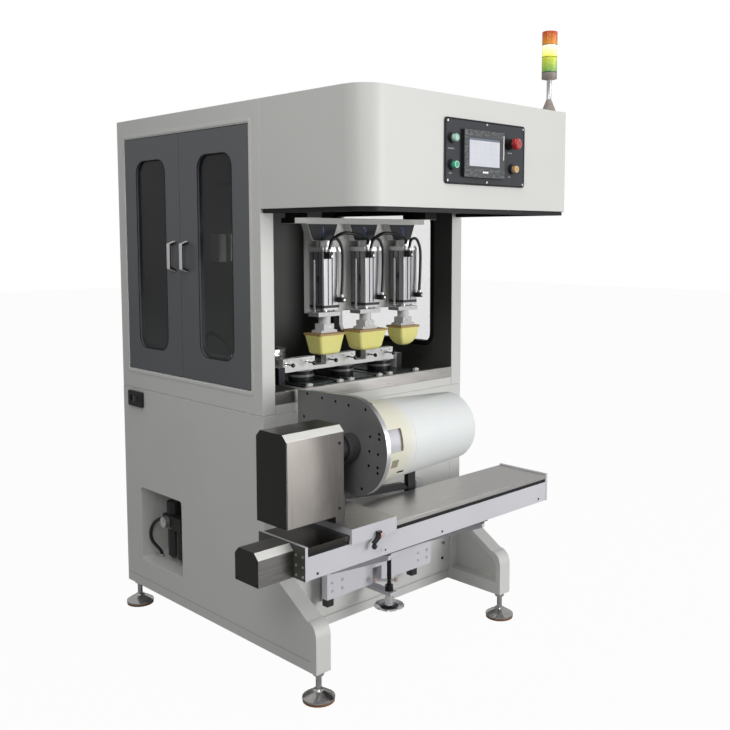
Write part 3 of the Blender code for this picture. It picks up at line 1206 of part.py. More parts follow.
# Clamp lever on the saddle's front: pivot block, cranked arm and ball
LEVER_X = 0.150
LEVER_Z = 0.516
LEVER_BLOCK = 0.008
LEVER_DEPTH = 0.012
LEVER_ARM = 0.006
LEVER_DROP = 0.022
LEVER_SHIFT = 0.026
LEVER_BALL = 0.009
lever_back = skirt_front - GAP
shape = Shape()
shape.prism([(LEVER_X - LEVER_BLOCK, LEVER_Z + LEVER_BLOCK),
             (LEVER_X - LEVER_BLOCK, LEVER_Z - LEVER_BLOCK),
             (LEVER_X - LEVER_SHIFT, LEVER_Z - LEVER_DROP),
             (LEVER_X - LEVER_SHIFT + LEVER_ARM, LEVER_Z - LEVER_DROP - LEVER_ARM),
             (LEVER_X + LEVER_BLOCK, LEVER_Z - LEVER_BLOCK),
             (LEVER_X + LEVER_BLOCK, LEVER_Z + LEVER_BLOCK)], "Y",
            lever_back - LEVER_DEPTH, lever_back)
shape.ball((LEVER_X - LEVER_SHIFT + LEVER_ARM / 2,
            lever_back - LEVER_BALL - PLAY,
            LEVER_Z - LEVER_DROP - LEVER_ARM - LEVER_BALL / 2), LEVER_BALL)
piece("clamp_lever", shape, BLACK_PLASTIC, (LEVER_X, lever_back, LEVER_Z))

# Headstock: a column on the saddle behind the shaft, with a round bearing eye
JIG_Y = -0.267
JIG_Z = 0.768
JIG_RADIUS = 0.149
FACEPLATE_LEFT = 0.125
FACEPLATE_THICK = 0.016
SHAFT_RADIUS = 0.015
SHAFT_CLEAR = 0.001
HEADSTOCK_RADIUS = 0.040
HEADSTOCK_LEFT = 0.0835
HEADSTOCK_FRONT = 0.030
HEADSTOCK_DEPTH = 0.092
HEADSTOCK_SHOULDER = 0.070
shape = Shape()
foot_z = SADDLE_TOP + GAP
head = arc((JIG_Y, JIG_Z), HEADSTOCK_RADIUS, math.pi / 3, 1.35 * math.pi, 20)
column_front = JIG_Y + HEADSTOCK_FRONT
column_back = column_front + HEADSTOCK_DEPTH
shape.prism([(column_front, JIG_Z - HEADSTOCK_SHOULDER), (column_front, foot_z),
             (column_back, foot_z), (column_back, JIG_Z - HEADSTOCK_SHOULDER), *head],
            "X", HEADSTOCK_LEFT, FACEPLATE_LEFT - GAP,
            (circle((JIG_Y, JIG_Z), SHAFT_RADIUS + SHAFT_CLEAR, FINE),))
piece("headstock", shape, DARK_PLATE)

# Drive cover: a bevelled stainless box beside the headstock, with a lower tab
BOX_LEFT = -0.168
BOX_RIGHT = 0.041
BOX_FRONT = -0.325
BOX_BACK = -0.190
BOX_BOTTOM = 0.590
BOX_TOP = 0.851
BOX_CHAMFER = 0.018
TAB_LEFT = 0.009
TAB_BOTTOM = 0.571
NECK_RADIUS = 0.030
shape = Shape()
shape.prism([(BOX_FRONT, BOX_BOTTOM), (BOX_BACK, BOX_BOTTOM),
             (BOX_BACK, BOX_TOP - BOX_CHAMFER), (BOX_BACK - BOX_CHAMFER, BOX_TOP),
             (BOX_FRONT + BOX_CHAMFER, BOX_TOP), (BOX_FRONT, BOX_TOP - BOX_CHAMFER)],
            "X", BOX_LEFT, BOX_RIGHT)
shape.box(TAB_LEFT, BOX_RIGHT, BOX_FRONT, BOX_BACK, TAB_BOTTOM, BOX_BOTTOM + JOIN)
shape.rod("X", (JIG_Y, JIG_Z), NECK_RADIUS, BOX_RIGHT - JOIN, HEADSTOCK_LEFT - GAP,
          FINE, SHAFT_RADIUS + SHAFT_CLEAR)
piece("drive_cover", shape, STAINLESS)

# Faceplate of the jig: round in front, drawn back along its top, and drilled
TAIL_TOP_DROP = 0.010
TAIL_BACK = -0.016
TAIL_HEEL_SHARE = 0.48
TAIL_SOLE_SHARE = 0.90
TAIL_TIP_SHARE = 0.15
DRILL_RADIUS = 0.0048
DRILL_SHARES = ((1.366, 0.880), (0.896, 0.850), (0.480, 0.830), (0.091, 0.802),
                (-0.399, 0.782), (1.480, 0.386), (-0.782, 0.352), (-0.782, 0.250),
                (-0.527, 0.265), (-0.507, -0.030), (-0.748, -0.050), (-0.487, -0.319),
                (-0.735, -0.315), (-0.735, -0.426), (-0.285, -0.815))
shape = Shape()
tail_deep = TAIL_BACK - JIG_Y
outline = arc((JIG_Y, JIG_Z), JIG_RADIUS, math.pi / 2, 1.5 * math.pi, 24)
outline += [(JIG_Y + JIG_RADIUS * TAIL_HEEL_SHARE, JIG_Z - JIG_RADIUS * TAIL_SOLE_SHARE),
            (JIG_Y + tail_deep, JIG_Z - JIG_RADIUS * TAIL_TIP_SHARE),
            (JIG_Y + tail_deep, JIG_Z + JIG_RADIUS - TAIL_TOP_DROP)]
drills = [circle((JIG_Y + JIG_RADIUS * a, JIG_Z + JIG_RADIUS * b), DRILL_RADIUS, 8)
          for a, b in DRILL_SHARES]
bore = circle((JIG_Y, JIG_Z), SHAFT_RADIUS + SHAFT_CLEAR, FINE)
shape.prism(outline, "X", FACEPLATE_LEFT, FACEPLATE_LEFT + FACEPLATE_THICK,
            (*drills, bore))
piece("jig_faceplate", shape, ((0.085, 0.085, 0.090), 0.45, 0.6))

# Drum of the jig: shaft, disc and rim, with a shallow rectangular pocket in the rim
DRUM_NEAR = 0.1288
DRUM_JOIN = 0.1218
DRUM_END_RADIUS = 0.1090
DRUM_WALL = 0.012
SLEEVE_WALL = 0.005
DRUM_DISC = 0.010
SHAFT_START = 0.048
JOIN_X = 0.276
SLEEVE_END = 0.572
SLEEVE_ROUND = 0.012
drum_left = FACEPLATE_LEFT + FACEPLATE_THICK + GAP
POCKET_LEFT = 0.158
POCKET_WIDTH = 0.059
POCKET_LOW = math.pi + math.radians(5)
POCKET_HIGH = math.pi - math.radians(27)
POCKET_FLOOR = 0.118
POCKET_REACH = 0.140
shape = Shape()
shape.turned("X", (JIG_Y, JIG_Z),
             [(0.0, SHAFT_START), (SHAFT_RADIUS, SHAFT_START),
              (SHAFT_RADIUS, drum_left), (DRUM_NEAR, drum_left), (DRUM_JOIN, JOIN_X),
              (DRUM_JOIN - DRUM_WALL, JOIN_X),
              (DRUM_NEAR - DRUM_WALL, drum_left + DRUM_DISC),
              (0.0, drum_left + DRUM_DISC)], FINE)
drum = piece("jig_drum", shape, CREAM, (drum_left, JIG_Y, JIG_Z))
shape = Shape()
pocket = arc((JIG_Y, JIG_Z), POCKET_FLOOR, POCKET_HIGH, POCKET_LOW, 4)
pocket += reversed(arc((JIG_Y, JIG_Z), POCKET_REACH, POCKET_HIGH, POCKET_LOW, 4))
shape.prism(pocket, "X", POCKET_LEFT, POCKET_LEFT + POCKET_WIDTH)
cut(drum, shape)
shape = Shape()
sleeve_left = JOIN_X + GAP
turn_in = DRUM_END_RADIUS - SLEEVE_ROUND
shape.turned("X", (JIG_Y, JIG_Z),
             [(0.0, SLEEVE_END), (turn_in, SLEEVE_END),
              (DRUM_END_RADIUS - SLEEVE_ROUND / 3, SLEEVE_END - SLEEVE_ROUND / 3),
              (DRUM_END_RADIUS, SLEEVE_END - SLEEVE_ROUND), (DRUM_JOIN, sleeve_left),
              (DRUM_JOIN - SLEEVE_WALL, sleeve_left),
              (DRUM_END_RADIUS - SLEEVE_WALL, SLEEVE_END - SLEEVE_ROUND),
              (turn_in - SLEEVE_WALL, SLEEVE_END - SLEEVE_WALL),
              (0.0, SLEEVE_END - DRUM_WALL)], FINE)
piece("drum_sleeve", shape, ((0.86, 0.86, 0.84), 0.35, 0.0), (sleeve_left, JIG_Y, JIG_Z))

# Knee: a plate on two guides that carries the slide on a shelf and two gussets
KNEE_LEFT = 0.205
KNEE_RIGHT = 0.700
KNEE_FRONT = -0.060
KNEE_THICK = 0.025
KNEE_BOTTOM = 0.210
SHELF_THICK = 0.012
SHELF_FRONT = -0.322
GUSSET_THICK = 0.012
GUSSET_INSET = 0.018
GUSSET_ROOT = 0.292
GUSSET_TIP = 0.018
STOP_WIDTH = 0.028
STOP_DROP = 0.024
JACK_X = 0.430
JACK_Y = -0.118
JACK_RADIUS = 0.0075
NUT_BLOCK = 0.020
NUT_BOTTOM = 0.318
KNEE_SCREW = 0.0045
ARM_HALF = 0.016
NOTCH_CLEAR = 0.005
NOTCH_RISE = 0.055
KNEE_SCREW_INSETS = (0.022, 0.066)
KNEE_SCREW_RISES = (0.026, 0.054)
shape = Shape()
shelf_top = SLIDE_BOTTOM - GAP
shelf_low = shelf_top - SHELF_THICK
notch = ARM_HALF + NOTCH_CLEAR
shape.prism([(KNEE_LEFT, KNEE_BOTTOM), (JACK_X - notch, KNEE_BOTTOM),
             (JACK_X - notch, KNEE_BOTTOM + NOTCH_RISE),
             (JACK_X + notch, KNEE_BOTTOM + NOTCH_RISE), (JACK_X + notch, KNEE_BOTTOM),
             (KNEE_RIGHT, KNEE_BOTTOM), (KNEE_RIGHT, shelf_top), (KNEE_LEFT, shelf_top)],
            "Y", KNEE_FRONT, KNEE_FRONT + KNEE_THICK)
shape.box(KNEE_LEFT, KNEE_RIGHT, SHELF_FRONT, KNEE_FRONT + JOIN, shelf_low, shelf_top)
for left in (KNEE_LEFT + GUSSET_INSET, KNEE_RIGHT - GUSSET_INSET - GUSSET_THICK):
    shape.prism([(KNEE_FRONT + JOIN, GUSSET_ROOT), (KNEE_FRONT + JOIN, shelf_low + JOIN),
                 (SHELF_FRONT, shelf_low + JOIN), (SHELF_FRONT, shelf_low - GUSSET_TIP)],
                "X", left, left + GUSSET_THICK)
for left in (KNEE_LEFT, KNEE_RIGHT - STOP_WIDTH - GUSSET_INSET * 4):
    shape.box(left, left + STOP_WIDTH, KNEE_FRONT, KNEE_FRONT + KNEE_THICK,
              KNEE_BOTTOM - STOP_DROP, KNEE_BOTTOM + JOIN)
shape.prism(oblong(JACK_X - NUT_BLOCK, JACK_X + NUT_BLOCK, JACK_Y - NUT_BLOCK,
                   JACK_Y + NUT_BLOCK), "Z", NUT_BOTTOM, shelf_low + JOIN,
            (circle((JACK_X, JACK_Y), JACK_RADIUS + PLAY, SMALL),))
for inset in KNEE_SCREW_INSETS:
    for rise in KNEE_SCREW_RISES:
        for x in (KNEE_LEFT + inset, KNEE_RIGHT - inset):
            shape.rod("Y", (x, KNEE_BOTTOM + rise), KNEE_SCREW,
                      KNEE_FRONT - SCREW_HEIGHT, KNEE_FRONT + JOIN, SMALL)
piece("knee", shape, SILVER_FACE)

# Knee guides on the front panel, and the bracket that holds the jack
GUIDE_RAIL = 0.030
GUIDE_INSET = 0.020
GUIDE_LOW = 0.200
GUIDE_HIGH = 0.520
ARM_LEVEL = 0.186
ARM_THICK = 0.012
ARM_REACH = 0.022
STRIP_THICK = 0.010
STRIP_RISE = 0.060
shape = Shape()
guide_front = KNEE_FRONT + KNEE_THICK + GAP
for left in (KNEE_LEFT + GUIDE_INSET, KNEE_RIGHT - GUIDE_INSET - GUIDE_RAIL):
    shape.box(left, left + GUIDE_RAIL, guide_front, -GAP, GUIDE_LOW, GUIDE_HIGH)
shape.prism(oblong(JACK_X - ARM_HALF, JACK_X + ARM_HALF, JACK_Y - ARM_REACH, -GAP),
            "Z", ARM_LEVEL, ARM_LEVEL + ARM_THICK,
            (circle((JACK_X, JACK_Y), JACK_RADIUS + PLAY, SMALL),))
shape.box(KNEE_LEFT + GUIDE_INSET, KNEE_RIGHT - GUIDE_INSET, -GAP - STRIP_THICK, -GAP,
          ARM_LEVEL, ARM_LEVEL + ARM_THICK + STRIP_RISE)
piece("knee_guides", shape, ALUMINIUM)

# Jack: dished handwheel, cone, screw and a nut above the bracket
WHEEL_RADIUS = 0.052
WHEEL_LEVEL = 0.1415
WHEEL_EDGE = 0.009
WHEEL_DISH = 0.004
CONE_RADIUS = 0.017
CONE_FOOT_SHARE = 1.9
JACK_TOP = 0.360
JACK_NUT = 0.014
JACK_NUT_HEIGHT = 0.020
shape = Shape()
arm_top = ARM_LEVEL + ARM_THICK
profile = [(0.0, WHEEL_LEVEL), (WHEEL_RADIUS - WHEEL_EDGE, WHEEL_LEVEL),
           (WHEEL_RADIUS, WHEEL_LEVEL + WHEEL_EDGE / 2),
           (WHEEL_RADIUS - WHEEL_EDGE / 3, WHEEL_LEVEL + WHEEL_EDGE),
           (CONE_RADIUS * CONE_FOOT_SHARE, WHEEL_LEVEL + WHEEL_DISH),
           (CONE_RADIUS, WHEEL_LEVEL + WHEEL_EDGE),
           (JACK_NUT, ARM_LEVEL - GAP), (JACK_RADIUS, ARM_LEVEL - GAP),
           (JACK_RADIUS, arm_top + GAP), (JACK_NUT, arm_top + GAP),
           (JACK_NUT, arm_top + JACK_NUT_HEIGHT),
           (JACK_RADIUS, arm_top + JACK_NUT_HEIGHT), (JACK_RADIUS, JACK_TOP),
           (0.0, JACK_TOP)]
shape.turned("Z", (JACK_X, JACK_Y), profile, ROUND)
KEY_LEVEL = 0.231
KEY_THICK = 0.007
KEY_HALF = 0.0035
KEY_LEFT = 0.034
KEY_RIGHT = 0.016
KEY_KNOB = 0.0065
KEY_KNOB_THICK = 0.012
left_end = (JACK_X - KEY_LEFT, JACK_Y + KEY_LEFT)
right_end = (JACK_X + KEY_RIGHT, JACK_Y - KEY_RIGHT)
shape.prism([(left_end[0] - KEY_HALF, left_end[1] - KEY_HALF),
             (right_end[0] - KEY_HALF, right_end[1] - KEY_HALF),
             (right_end[0] + KEY_HALF, right_end[1] + KEY_HALF),
             (left_end[0] + KEY_HALF, left_end[1] + KEY_HALF)],
            "Z", KEY_LEVEL, KEY_LEVEL + KEY_THICK)
for end in (left_end, right_end):
    shape.rod("Z", end, KEY_KNOB, KEY_LEVEL - PLAY, KEY_LEVEL - PLAY + KEY_KNOB_THICK,
              ROUND)
piece("jack_screw", shape, CHROME, (JACK_X, JACK_Y, WHEEL_LEVEL))
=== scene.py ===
"""The finishes and small parts of a pad printing machine, built around its CAD frame."""

import json
import math

import bpy
from mathutils import Matrix, Vector

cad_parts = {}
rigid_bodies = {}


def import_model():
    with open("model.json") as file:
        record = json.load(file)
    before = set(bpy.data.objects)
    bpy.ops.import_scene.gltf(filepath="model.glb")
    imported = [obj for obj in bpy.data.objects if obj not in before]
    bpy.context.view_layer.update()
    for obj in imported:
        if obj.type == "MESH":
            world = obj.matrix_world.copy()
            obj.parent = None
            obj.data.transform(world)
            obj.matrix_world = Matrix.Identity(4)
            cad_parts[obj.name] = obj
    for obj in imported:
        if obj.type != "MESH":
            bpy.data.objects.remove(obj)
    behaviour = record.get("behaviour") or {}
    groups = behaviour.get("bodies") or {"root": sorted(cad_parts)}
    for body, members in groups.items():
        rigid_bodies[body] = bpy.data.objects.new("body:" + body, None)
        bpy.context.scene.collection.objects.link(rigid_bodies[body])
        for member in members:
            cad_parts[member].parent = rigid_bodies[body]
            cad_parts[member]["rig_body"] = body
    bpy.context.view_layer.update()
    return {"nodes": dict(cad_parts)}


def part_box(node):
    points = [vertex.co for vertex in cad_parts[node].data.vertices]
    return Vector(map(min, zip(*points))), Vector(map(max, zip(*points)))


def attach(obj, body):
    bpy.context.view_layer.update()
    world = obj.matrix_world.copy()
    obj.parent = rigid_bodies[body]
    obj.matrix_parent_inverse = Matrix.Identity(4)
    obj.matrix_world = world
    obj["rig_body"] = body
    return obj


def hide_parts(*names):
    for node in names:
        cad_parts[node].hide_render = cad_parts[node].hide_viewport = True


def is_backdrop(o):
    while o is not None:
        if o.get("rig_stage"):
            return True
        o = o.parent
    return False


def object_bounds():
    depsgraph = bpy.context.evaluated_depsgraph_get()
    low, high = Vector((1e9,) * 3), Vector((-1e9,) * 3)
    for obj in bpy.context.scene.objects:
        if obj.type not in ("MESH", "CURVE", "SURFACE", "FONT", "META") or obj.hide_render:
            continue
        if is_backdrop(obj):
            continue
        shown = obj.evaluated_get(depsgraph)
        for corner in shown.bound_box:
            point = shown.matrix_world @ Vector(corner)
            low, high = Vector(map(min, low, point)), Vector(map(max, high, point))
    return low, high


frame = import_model()

# Welded cabinet: side frames, front panel and upper cabinet, folded from mild steel
# sheet and powder coated off-white. Each solid is copied, its flat faces are joined and
# its folds are eased. A fine dark line low on three sides is painted shade where the
# skirt is folded in.
WHITE_COAT, WHITE_COAT_WORN = (0.77, 0.77, 0.745), (0.71, 0.71, 0.685)
PEEL_SCALE = 420
CLOUD_SCALE = 3.5
SHEET_EDGE = 0.0022
MERGE = 0.00002
FLAT_ANGLE = math.radians(0.6)
EDGE_ANGLE = math.radians(32)


class Wire:
    """One socket of a finish. Sums on it add Math nodes."""

    def __init__(self, finish, socket):
        self.finish, self.socket = finish, socket

    def sum(self, operation, one, two=0.0):
        return self.finish.node("Math", {"operation": operation}, {0: one, 1: two})

    def __add__(self, other):
        return self.sum("ADD", self, other)

    def __mul__(self, other):
        return self.sum("MULTIPLY", self, other)

    def __pow__(self, other):
        return self.sum("POWER", self, other)

    def __gt__(self, other):
        return self.sum("GREATER_THAN", self, other)

    def __lt__(self, other):
        return self.sum("LESS_THAN", self, other)

    def wave(self):
        return self.sum("SINE", self)


class Graph:
    """A tree of nodes. Each new node is wired as it is made."""

    def __init__(self, tree):
        self.tree = tree

    def node(self, kind, settings=None, sockets=None, out=0):
        made = self.tree.nodes.new("ShaderNode" + kind)
        for key, value in (settings or {}).items():
            setattr(made, key, value)
        for key, value in (sockets or {}).items():
            if isinstance(value, Wire):
                self.tree.links.new(value.socket, made.inputs[key])
            else:
                made.inputs[key].default_value = value
        return Wire(self, made.outputs[out])


class Finish(Graph):
    """A material with one Principled shader and the nodes that vary it."""

    def __init__(self, name, **plain):
        self.material = bpy.data.materials.new(name)
        self.material.use_nodes = True
        super().__init__(self.material.node_tree)
        self.shader = self.tree.nodes["Principled BSDF"]
        self.feed(**plain)

    def feed(self, **sockets):
        for key, value in sockets.items():
            socket = self.shader.inputs[key.replace("_", " ")]
            if isinstance(value, Wire):
                self.tree.links.new(value.socket, socket)
            else:
                socket.default_value = value
        return self

    def place(self, stretch=(1, 1, 1), shift=(0, 0, 0)):
        here = self.node("TexCoord", out=3)
        return self.node("Mapping", sockets={0: here, "Location": shift, "Scale": stretch})

    def along(self, axis):
        return self.node("SeparateXYZ", sockets={0: self.place()}, out="XYZ".index(axis))

    def grain(self, scale, stretch=(1, 1, 1), detail=3.0):
        return self.node(
            "TexNoise", sockets={"Vector": self.place(stretch), "Scale": scale, "Detail": detail})

    def mix(self, share, low, high):
        low, high = (end if isinstance(end, Wire) else (*end, 1) for end in (low, high))
        return self.node("Mix", {"data_type": "RGBA"}, {"Factor": share, 6: low, 7: high}, out=2)

    def turn(self, one, two):
        return self.node("Math", {"operation": "ARCTAN2"}, {0: one, 1: two})

    def ramp(self, value, start, end, way="LINEAR"):
        """Runs from nought to one as the value goes from the start to the end."""
        return self.node(
            "MapRange", {"interpolation_type": way},
            {"Value": value, "From Min": start, "From Max": end})

    def bump(self, height, strength, distance=0.0004):
        return self.node(
            "Bump", sockets={"Height": height, "Strength": strength, "Distance": distance})


def coat(name, fresh, worn, roughness, peel=0.12, **plain):
    """A powder coat: cloudy tone, slightly uneven gloss and a fine orange peel."""
    made = Finish(name, **plain)
    cloud = made.grain(CLOUD_SCALE)
    peel_height = made.grain(PEEL_SCALE, detail=1.0)
    return made.feed(
        Base_Color=made.mix(cloud, worn, fresh), Roughness=cloud * 0.12 + (roughness - 0.06),
        Normal=made.bump(peel_height, peel))


def over(finish, share, colour):
    """Lays another colour over a finish where the share is one."""
    under = Wire(finish, finish.shader.inputs["Base Color"].links[0].from_socket)
    finish.feed(Base_Color=finish.mix(share, under, colour))


def bare():
    """Leaves nothing selected, so that a new primitive stands alone."""
    bpy.ops.object.select_all(action="DESELECT")


def editing(on):
    """Opens the active mesh for editing, or closes it."""
    bpy.ops.object.mode_set(mode="EDIT" if on else "OBJECT")


def only(thing):
    """Leaves this object alone selected and active."""
    bare()
    thing.select_set(True)
    bpy.context.view_layer.objects.active = thing


def stand(name, data):
    """Puts a new object with this data into the scene."""
    thing = bpy.data.objects.new(name, data)
    bpy.context.scene.collection.objects.link(thing)
    return thing


def ease(thing, width, segments=2):
    """Rounds the sharp edges of a piece."""
    bevel = thing.modifiers.new("ease", "BEVEL")
    bevel.width, bevel.segments = width, segments
    bevel.limit_method, bevel.angle_limit = "ANGLE", EDGE_ANGLE


def settle(thing, name, finish, node, edge=0.0, smooth=EDGE_ANGLE):
    """Eases a new piece, applies its place, and gives it a finish and a solid's body."""
    if edge:
        ease(thing, edge)
    only(thing)
    bpy.ops.object.transform_apply(location=True, rotation=True, scale=True)
    for modifier in list(thing.modifiers):
        bpy.ops.object.modifier_apply(modifier=modifier.name)
    bpy.ops.object.shade_smooth_by_angle(angle=smooth)
    level = thing.modifiers.new("flat_faces", "WEIGHTED_NORMAL")
    level.keep_sharp = True
    bpy.ops.object.modifier_apply(modifier=level.name)
    thing.name = thing.data.name = name
    thing.data.materials.clear()
    thing.data.materials.append(finish.material)
    body = frame["nodes"][node]["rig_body"]
    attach(thing, body)
    return thing


def skin(node, finish, edge=SHEET_EDGE):
    """A copy of a solid, merged into whole faces, with its edges eased, in its place."""
    thing = stand(node, frame["nodes"][node].data.copy())
    only(thing)
    editing(True)
    bpy.ops.mesh.select_all(action="SELECT")
    bpy.ops.mesh.remove_doubles(threshold=MERGE)
    bpy.ops.mesh.dissolve_limited(angle_limit=FLAT_ANGLE)
    editing(False)
    settle(thing, node + "_skin", finish, node, edge)
    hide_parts(node)
    return thing


def second_coat(thing, finish, test):
    """Another finish for the faces that pass a test on where they are and look out to."""
    thing.data.materials.append(finish.material)
    place = len(thing.data.materials) - 1
    for face in thing.data.polygons:
        if test(face.center, face.normal):
            face.material_index = place


white_coat = coat("white_powder_coat", WHITE_COAT, WHITE_COAT_WORN, 0.42)
for node in ("left_side_frame", "right_side_frame", "base_front", "upper_cabinet"):
    skin(node, white_coat)

SEAM_LEVEL, SEAM_WIDTH, SEAM_RISE, SEAM_SUNK = 0.126, 0.0013, 0.0004, 0.0002
SEAM_FRONT_END, SEAM_BACK_END, SEAM_SIDE_END = 0.03, 0.004, 0.002
SEAM_TONE = (0.3, 0.3, 0.29)
seam_shade = coat("seam_shade", SEAM_TONE, [c * 0.8 for c in SEAM_TONE], 0.5)
side_low, side_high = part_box("left_side_frame")
right_low, right_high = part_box("right_side_frame")
front_low, front_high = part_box("base_front")
for name, node, low, high in (
        ("fold_line_left", "left_side_frame",
        (side_low[0] - SEAM_RISE, side_low[1] + SEAM_FRONT_END),
        (side_low[0] + SEAM_SUNK, side_high[1] - SEAM_BACK_END)),
        ("fold_line_right", "right_side_frame",
        (right_high[0] - SEAM_SUNK, right_low[1] + SEAM_FRONT_END),
        (right_high[0] + SEAM_RISE, right_high[1] - SEAM_BACK_END)),
        ("fold_line_front", "base_front", (front_low[0] + SEAM_SIDE_END, front_low[1] - SEAM_RISE),
        (front_high[0] - SEAM_SIDE_END, front_low[1] + SEAM_SUNK))):
    bare()
    bpy.ops.mesh.primitive_cube_add(
        size=1, location=((low[0] + high[0]) / 2, (low[1] + high[1]) / 2, SEAM_LEVEL))
    line = bpy.context.object
    line.scale = (high[0] - low[0], high[1] - low[1], SEAM_WIDTH)
    bpy.ops.object.transform_apply(scale=True)
    ease(line, SEAM_RISE / 2, 1)
    settle(line, name, seam_shade, node)

# Levelling feet: a moulded foot with a brown rubber rim, a zinc plated stem and a lock
# nut. The nut is turned up against the frame, so the stem shows only below it.
RUBBER_BROWN, FOOT_METAL, RIM_HEIGHT = (0.2, 0.085, 0.035), (0.7, 0.7, 0.69), 0.0065


def grained(
        name, scale, low, high, spread, rough, stretch=(1, 1, 1), detail=3.0, bump=0.0, **plain):
    """A finish whose tone and gloss follow one grain, and its surface too where asked."""
    made = Finish(name, **plain)
    grain = made.grain(scale, stretch, detail)
    made.feed(Base_Color=made.mix(grain, low, high), Roughness=grain * spread + rough)
    return made.feed(Normal=made.bump(grain, bump)) if bump else made


foot_metal = grained(
    "zinc_plated_steel", 60, (0.46, 0.45, 0.44), FOOT_METAL, 0.12, 0.08, Metallic=1.0)
foot_rubber = grained("foot_rubber", 250, RUBBER_BROWN, (0.3, 0.14, 0.06), 0.2, 0.6, bump=0.2)
for k in range(1, 5):
    foot = skin(f"levelling_foot_{k}", foot_metal, 0.0)
    second_coat(foot, foot_rubber, lambda at, out: at.z < RIM_HEIGHT)

NUT_ACROSS, NUT_HEIGHT, NUT_EDGE, NUT_DROP = 0.0178, 0.0124, 0.0016, 0.0002
for k in range(1, 5):
    foot_low, foot_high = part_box(f"levelling_foot_{k}")
    bare()
    bpy.ops.mesh.primitive_cylinder_add(
        vertices=6, radius=NUT_ACROSS, depth=NUT_HEIGHT,
        location=((foot_low[0] + foot_high[0]) / 2, (foot_low[1] + foot_high[1]) / 2,
        foot_high[2] - NUT_HEIGHT / 2 - NUT_DROP))
    settle(
        bpy.context.object, f"foot_lock_nut_{k}", foot_metal, f"levelling_foot_{k}",
        NUT_EDGE)

# Hood over the print area: one folded and welded sheet shell with a round left corner,
# coated with the cabinet. Two dome plugs close the lifting eye holes in its roof.
hood = skin("hood", white_coat)
PLUG_RADIUS, PLUG_RISE, PLUG_INSET = 0.011, 0.0035, (0.12, 0.1)
plug_rubber = grained("plug_rubber", 400, (0.02, 0.02, 0.021), (0.045, 0.045, 0.047), 0.25, 0.5)
hood_low, hood_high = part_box("hood")


def button_top(radius, height, round_share=0.35, sides=32):
    """A short upright cylinder with a rounded upper edge, standing at the origin."""
    bare()
    bpy.ops.mesh.primitive_cylinder_add(
        vertices=sides, radius=radius, depth=height, location=(0, 0, height / 2))
    editing(True)
    bpy.ops.mesh.select_all(action="DESELECT")
    editing(False)
    thing = bpy.context.object
    bpy.ops.object.transform_apply(location=True)
    for edge in thing.data.edges:
        ends = [thing.data.vertices[i].co.z for i in edge.vertices]
        edge.select = min(ends) > height / 2
    editing(True)
    bpy.ops.mesh.bevel(offset=min(radius, height) * round_share, segments=3)
    editing(False)
    return thing


def copies(master, name, places, turn, finish, node):
    """Sets a copy of a small part at each place, turned to face its way."""
    for k, place in enumerate(places):
        thing = stand(name, master.data.copy())
        thing.data.transform(Matrix.Translation(place) @ turn)
        settle(thing, f"{name}_{k + 1}", finish, node)
    bpy.data.objects.remove(master)


UP = Matrix.Identity(4)
FRONT = Matrix.Rotation(math.pi / 2, 4, "X")
LEFT = Matrix.Rotation(-math.pi / 2, 4, "Y")
BACK = Matrix.Rotation(-math.pi / 2, 4, "X")
copies(
    button_top(PLUG_RADIUS, PLUG_RISE), "lifting_eye_plug",
    [(x, hood_high[1] - PLUG_INSET[1], hood_high[2]) for x in (hood_low[0] + PLUG_INSET[0],
    hood_high[0] - PLUG_INSET[0])], UP, plug_rubber, "hood")

# Frame inside the hood: thick plate, cut and black anodised, with a slight bloom. It
# carries the deck plate and the two tracks that the pad carriage runs on.
black_anodised = grained(
    "black_anodised", 18, (0.01, 0.01, 0.012), (0.02, 0.02, 0.023), 0.18, 0.34, Metallic=0.2,
    Specular_IOR_Level=0.25)
skin("hood_frame", black_anodised, 0.001)

# Side doors: pressed sheet leaves with a dark grey powder coat. A rubber profile lines
# each slot and holds a smoked pane, and a lipped frame runs round the pair.
DOOR_COAT, DOOR_COAT_WORN = (0.14, 0.147, 0.158), (0.122, 0.128, 0.137)
GASKET_WIDTH, GASKET_RISE, GASKET_LAP, SLOT_ROUND = 0.003, 0.0012, 0.0005, 0.048
door_coat = coat("dark_grey_powder_coat", DOOR_COAT, DOOR_COAT_WORN, 0.4, 0.16)
gasket_rubber = grained(
    "gasket_rubber", 300, (0.012, 0.012, 0.013), (0.026, 0.026, 0.027), 0.2, 0.55,
    Specular_IOR_Level=0.2)
smoked_pane = Finish("smoked_pane", IOR=1.49)
smoke = smoked_pane.grain(6)
# The pane is lighter towards its foot: painted light of the lit inside seen through it.
lit_inside_share = smoked_pane.ramp(smoked_pane.along("Z"), 1.25, 0.99)
smoked_pane.feed(
    Base_Color=smoked_pane.mix(lit_inside_share,
    smoked_pane.mix(smoke, (0.008, 0.009, 0.009), (0.018, 0.019, 0.018)), (0.08, 0.083, 0.085)),
    Roughness=smoke * 0.04 + 0.16, Alpha=smoke * 0.08 + 0.5)
smoked_pane.material.blend_method = "BLEND"
SPREADS = {
    "X": Matrix(((0, 0, 1, 0), (1, 0, 0, 0), (0, 1, 0, 0), (0, 0, 0, 1))),
    "Y": Matrix(((1, 0, 0, 0), (0, 0, -1, 0), (0, 1, 0, 0), (0, 0, 0, 1))),
    "Z": Matrix.Identity(4)}


def about(a, b, half_a, half_b=None):
    """The spans of a plate about its middle."""
    half_b = half_b or half_a
    return a - half_a, a + half_a, b - half_b, b + half_b


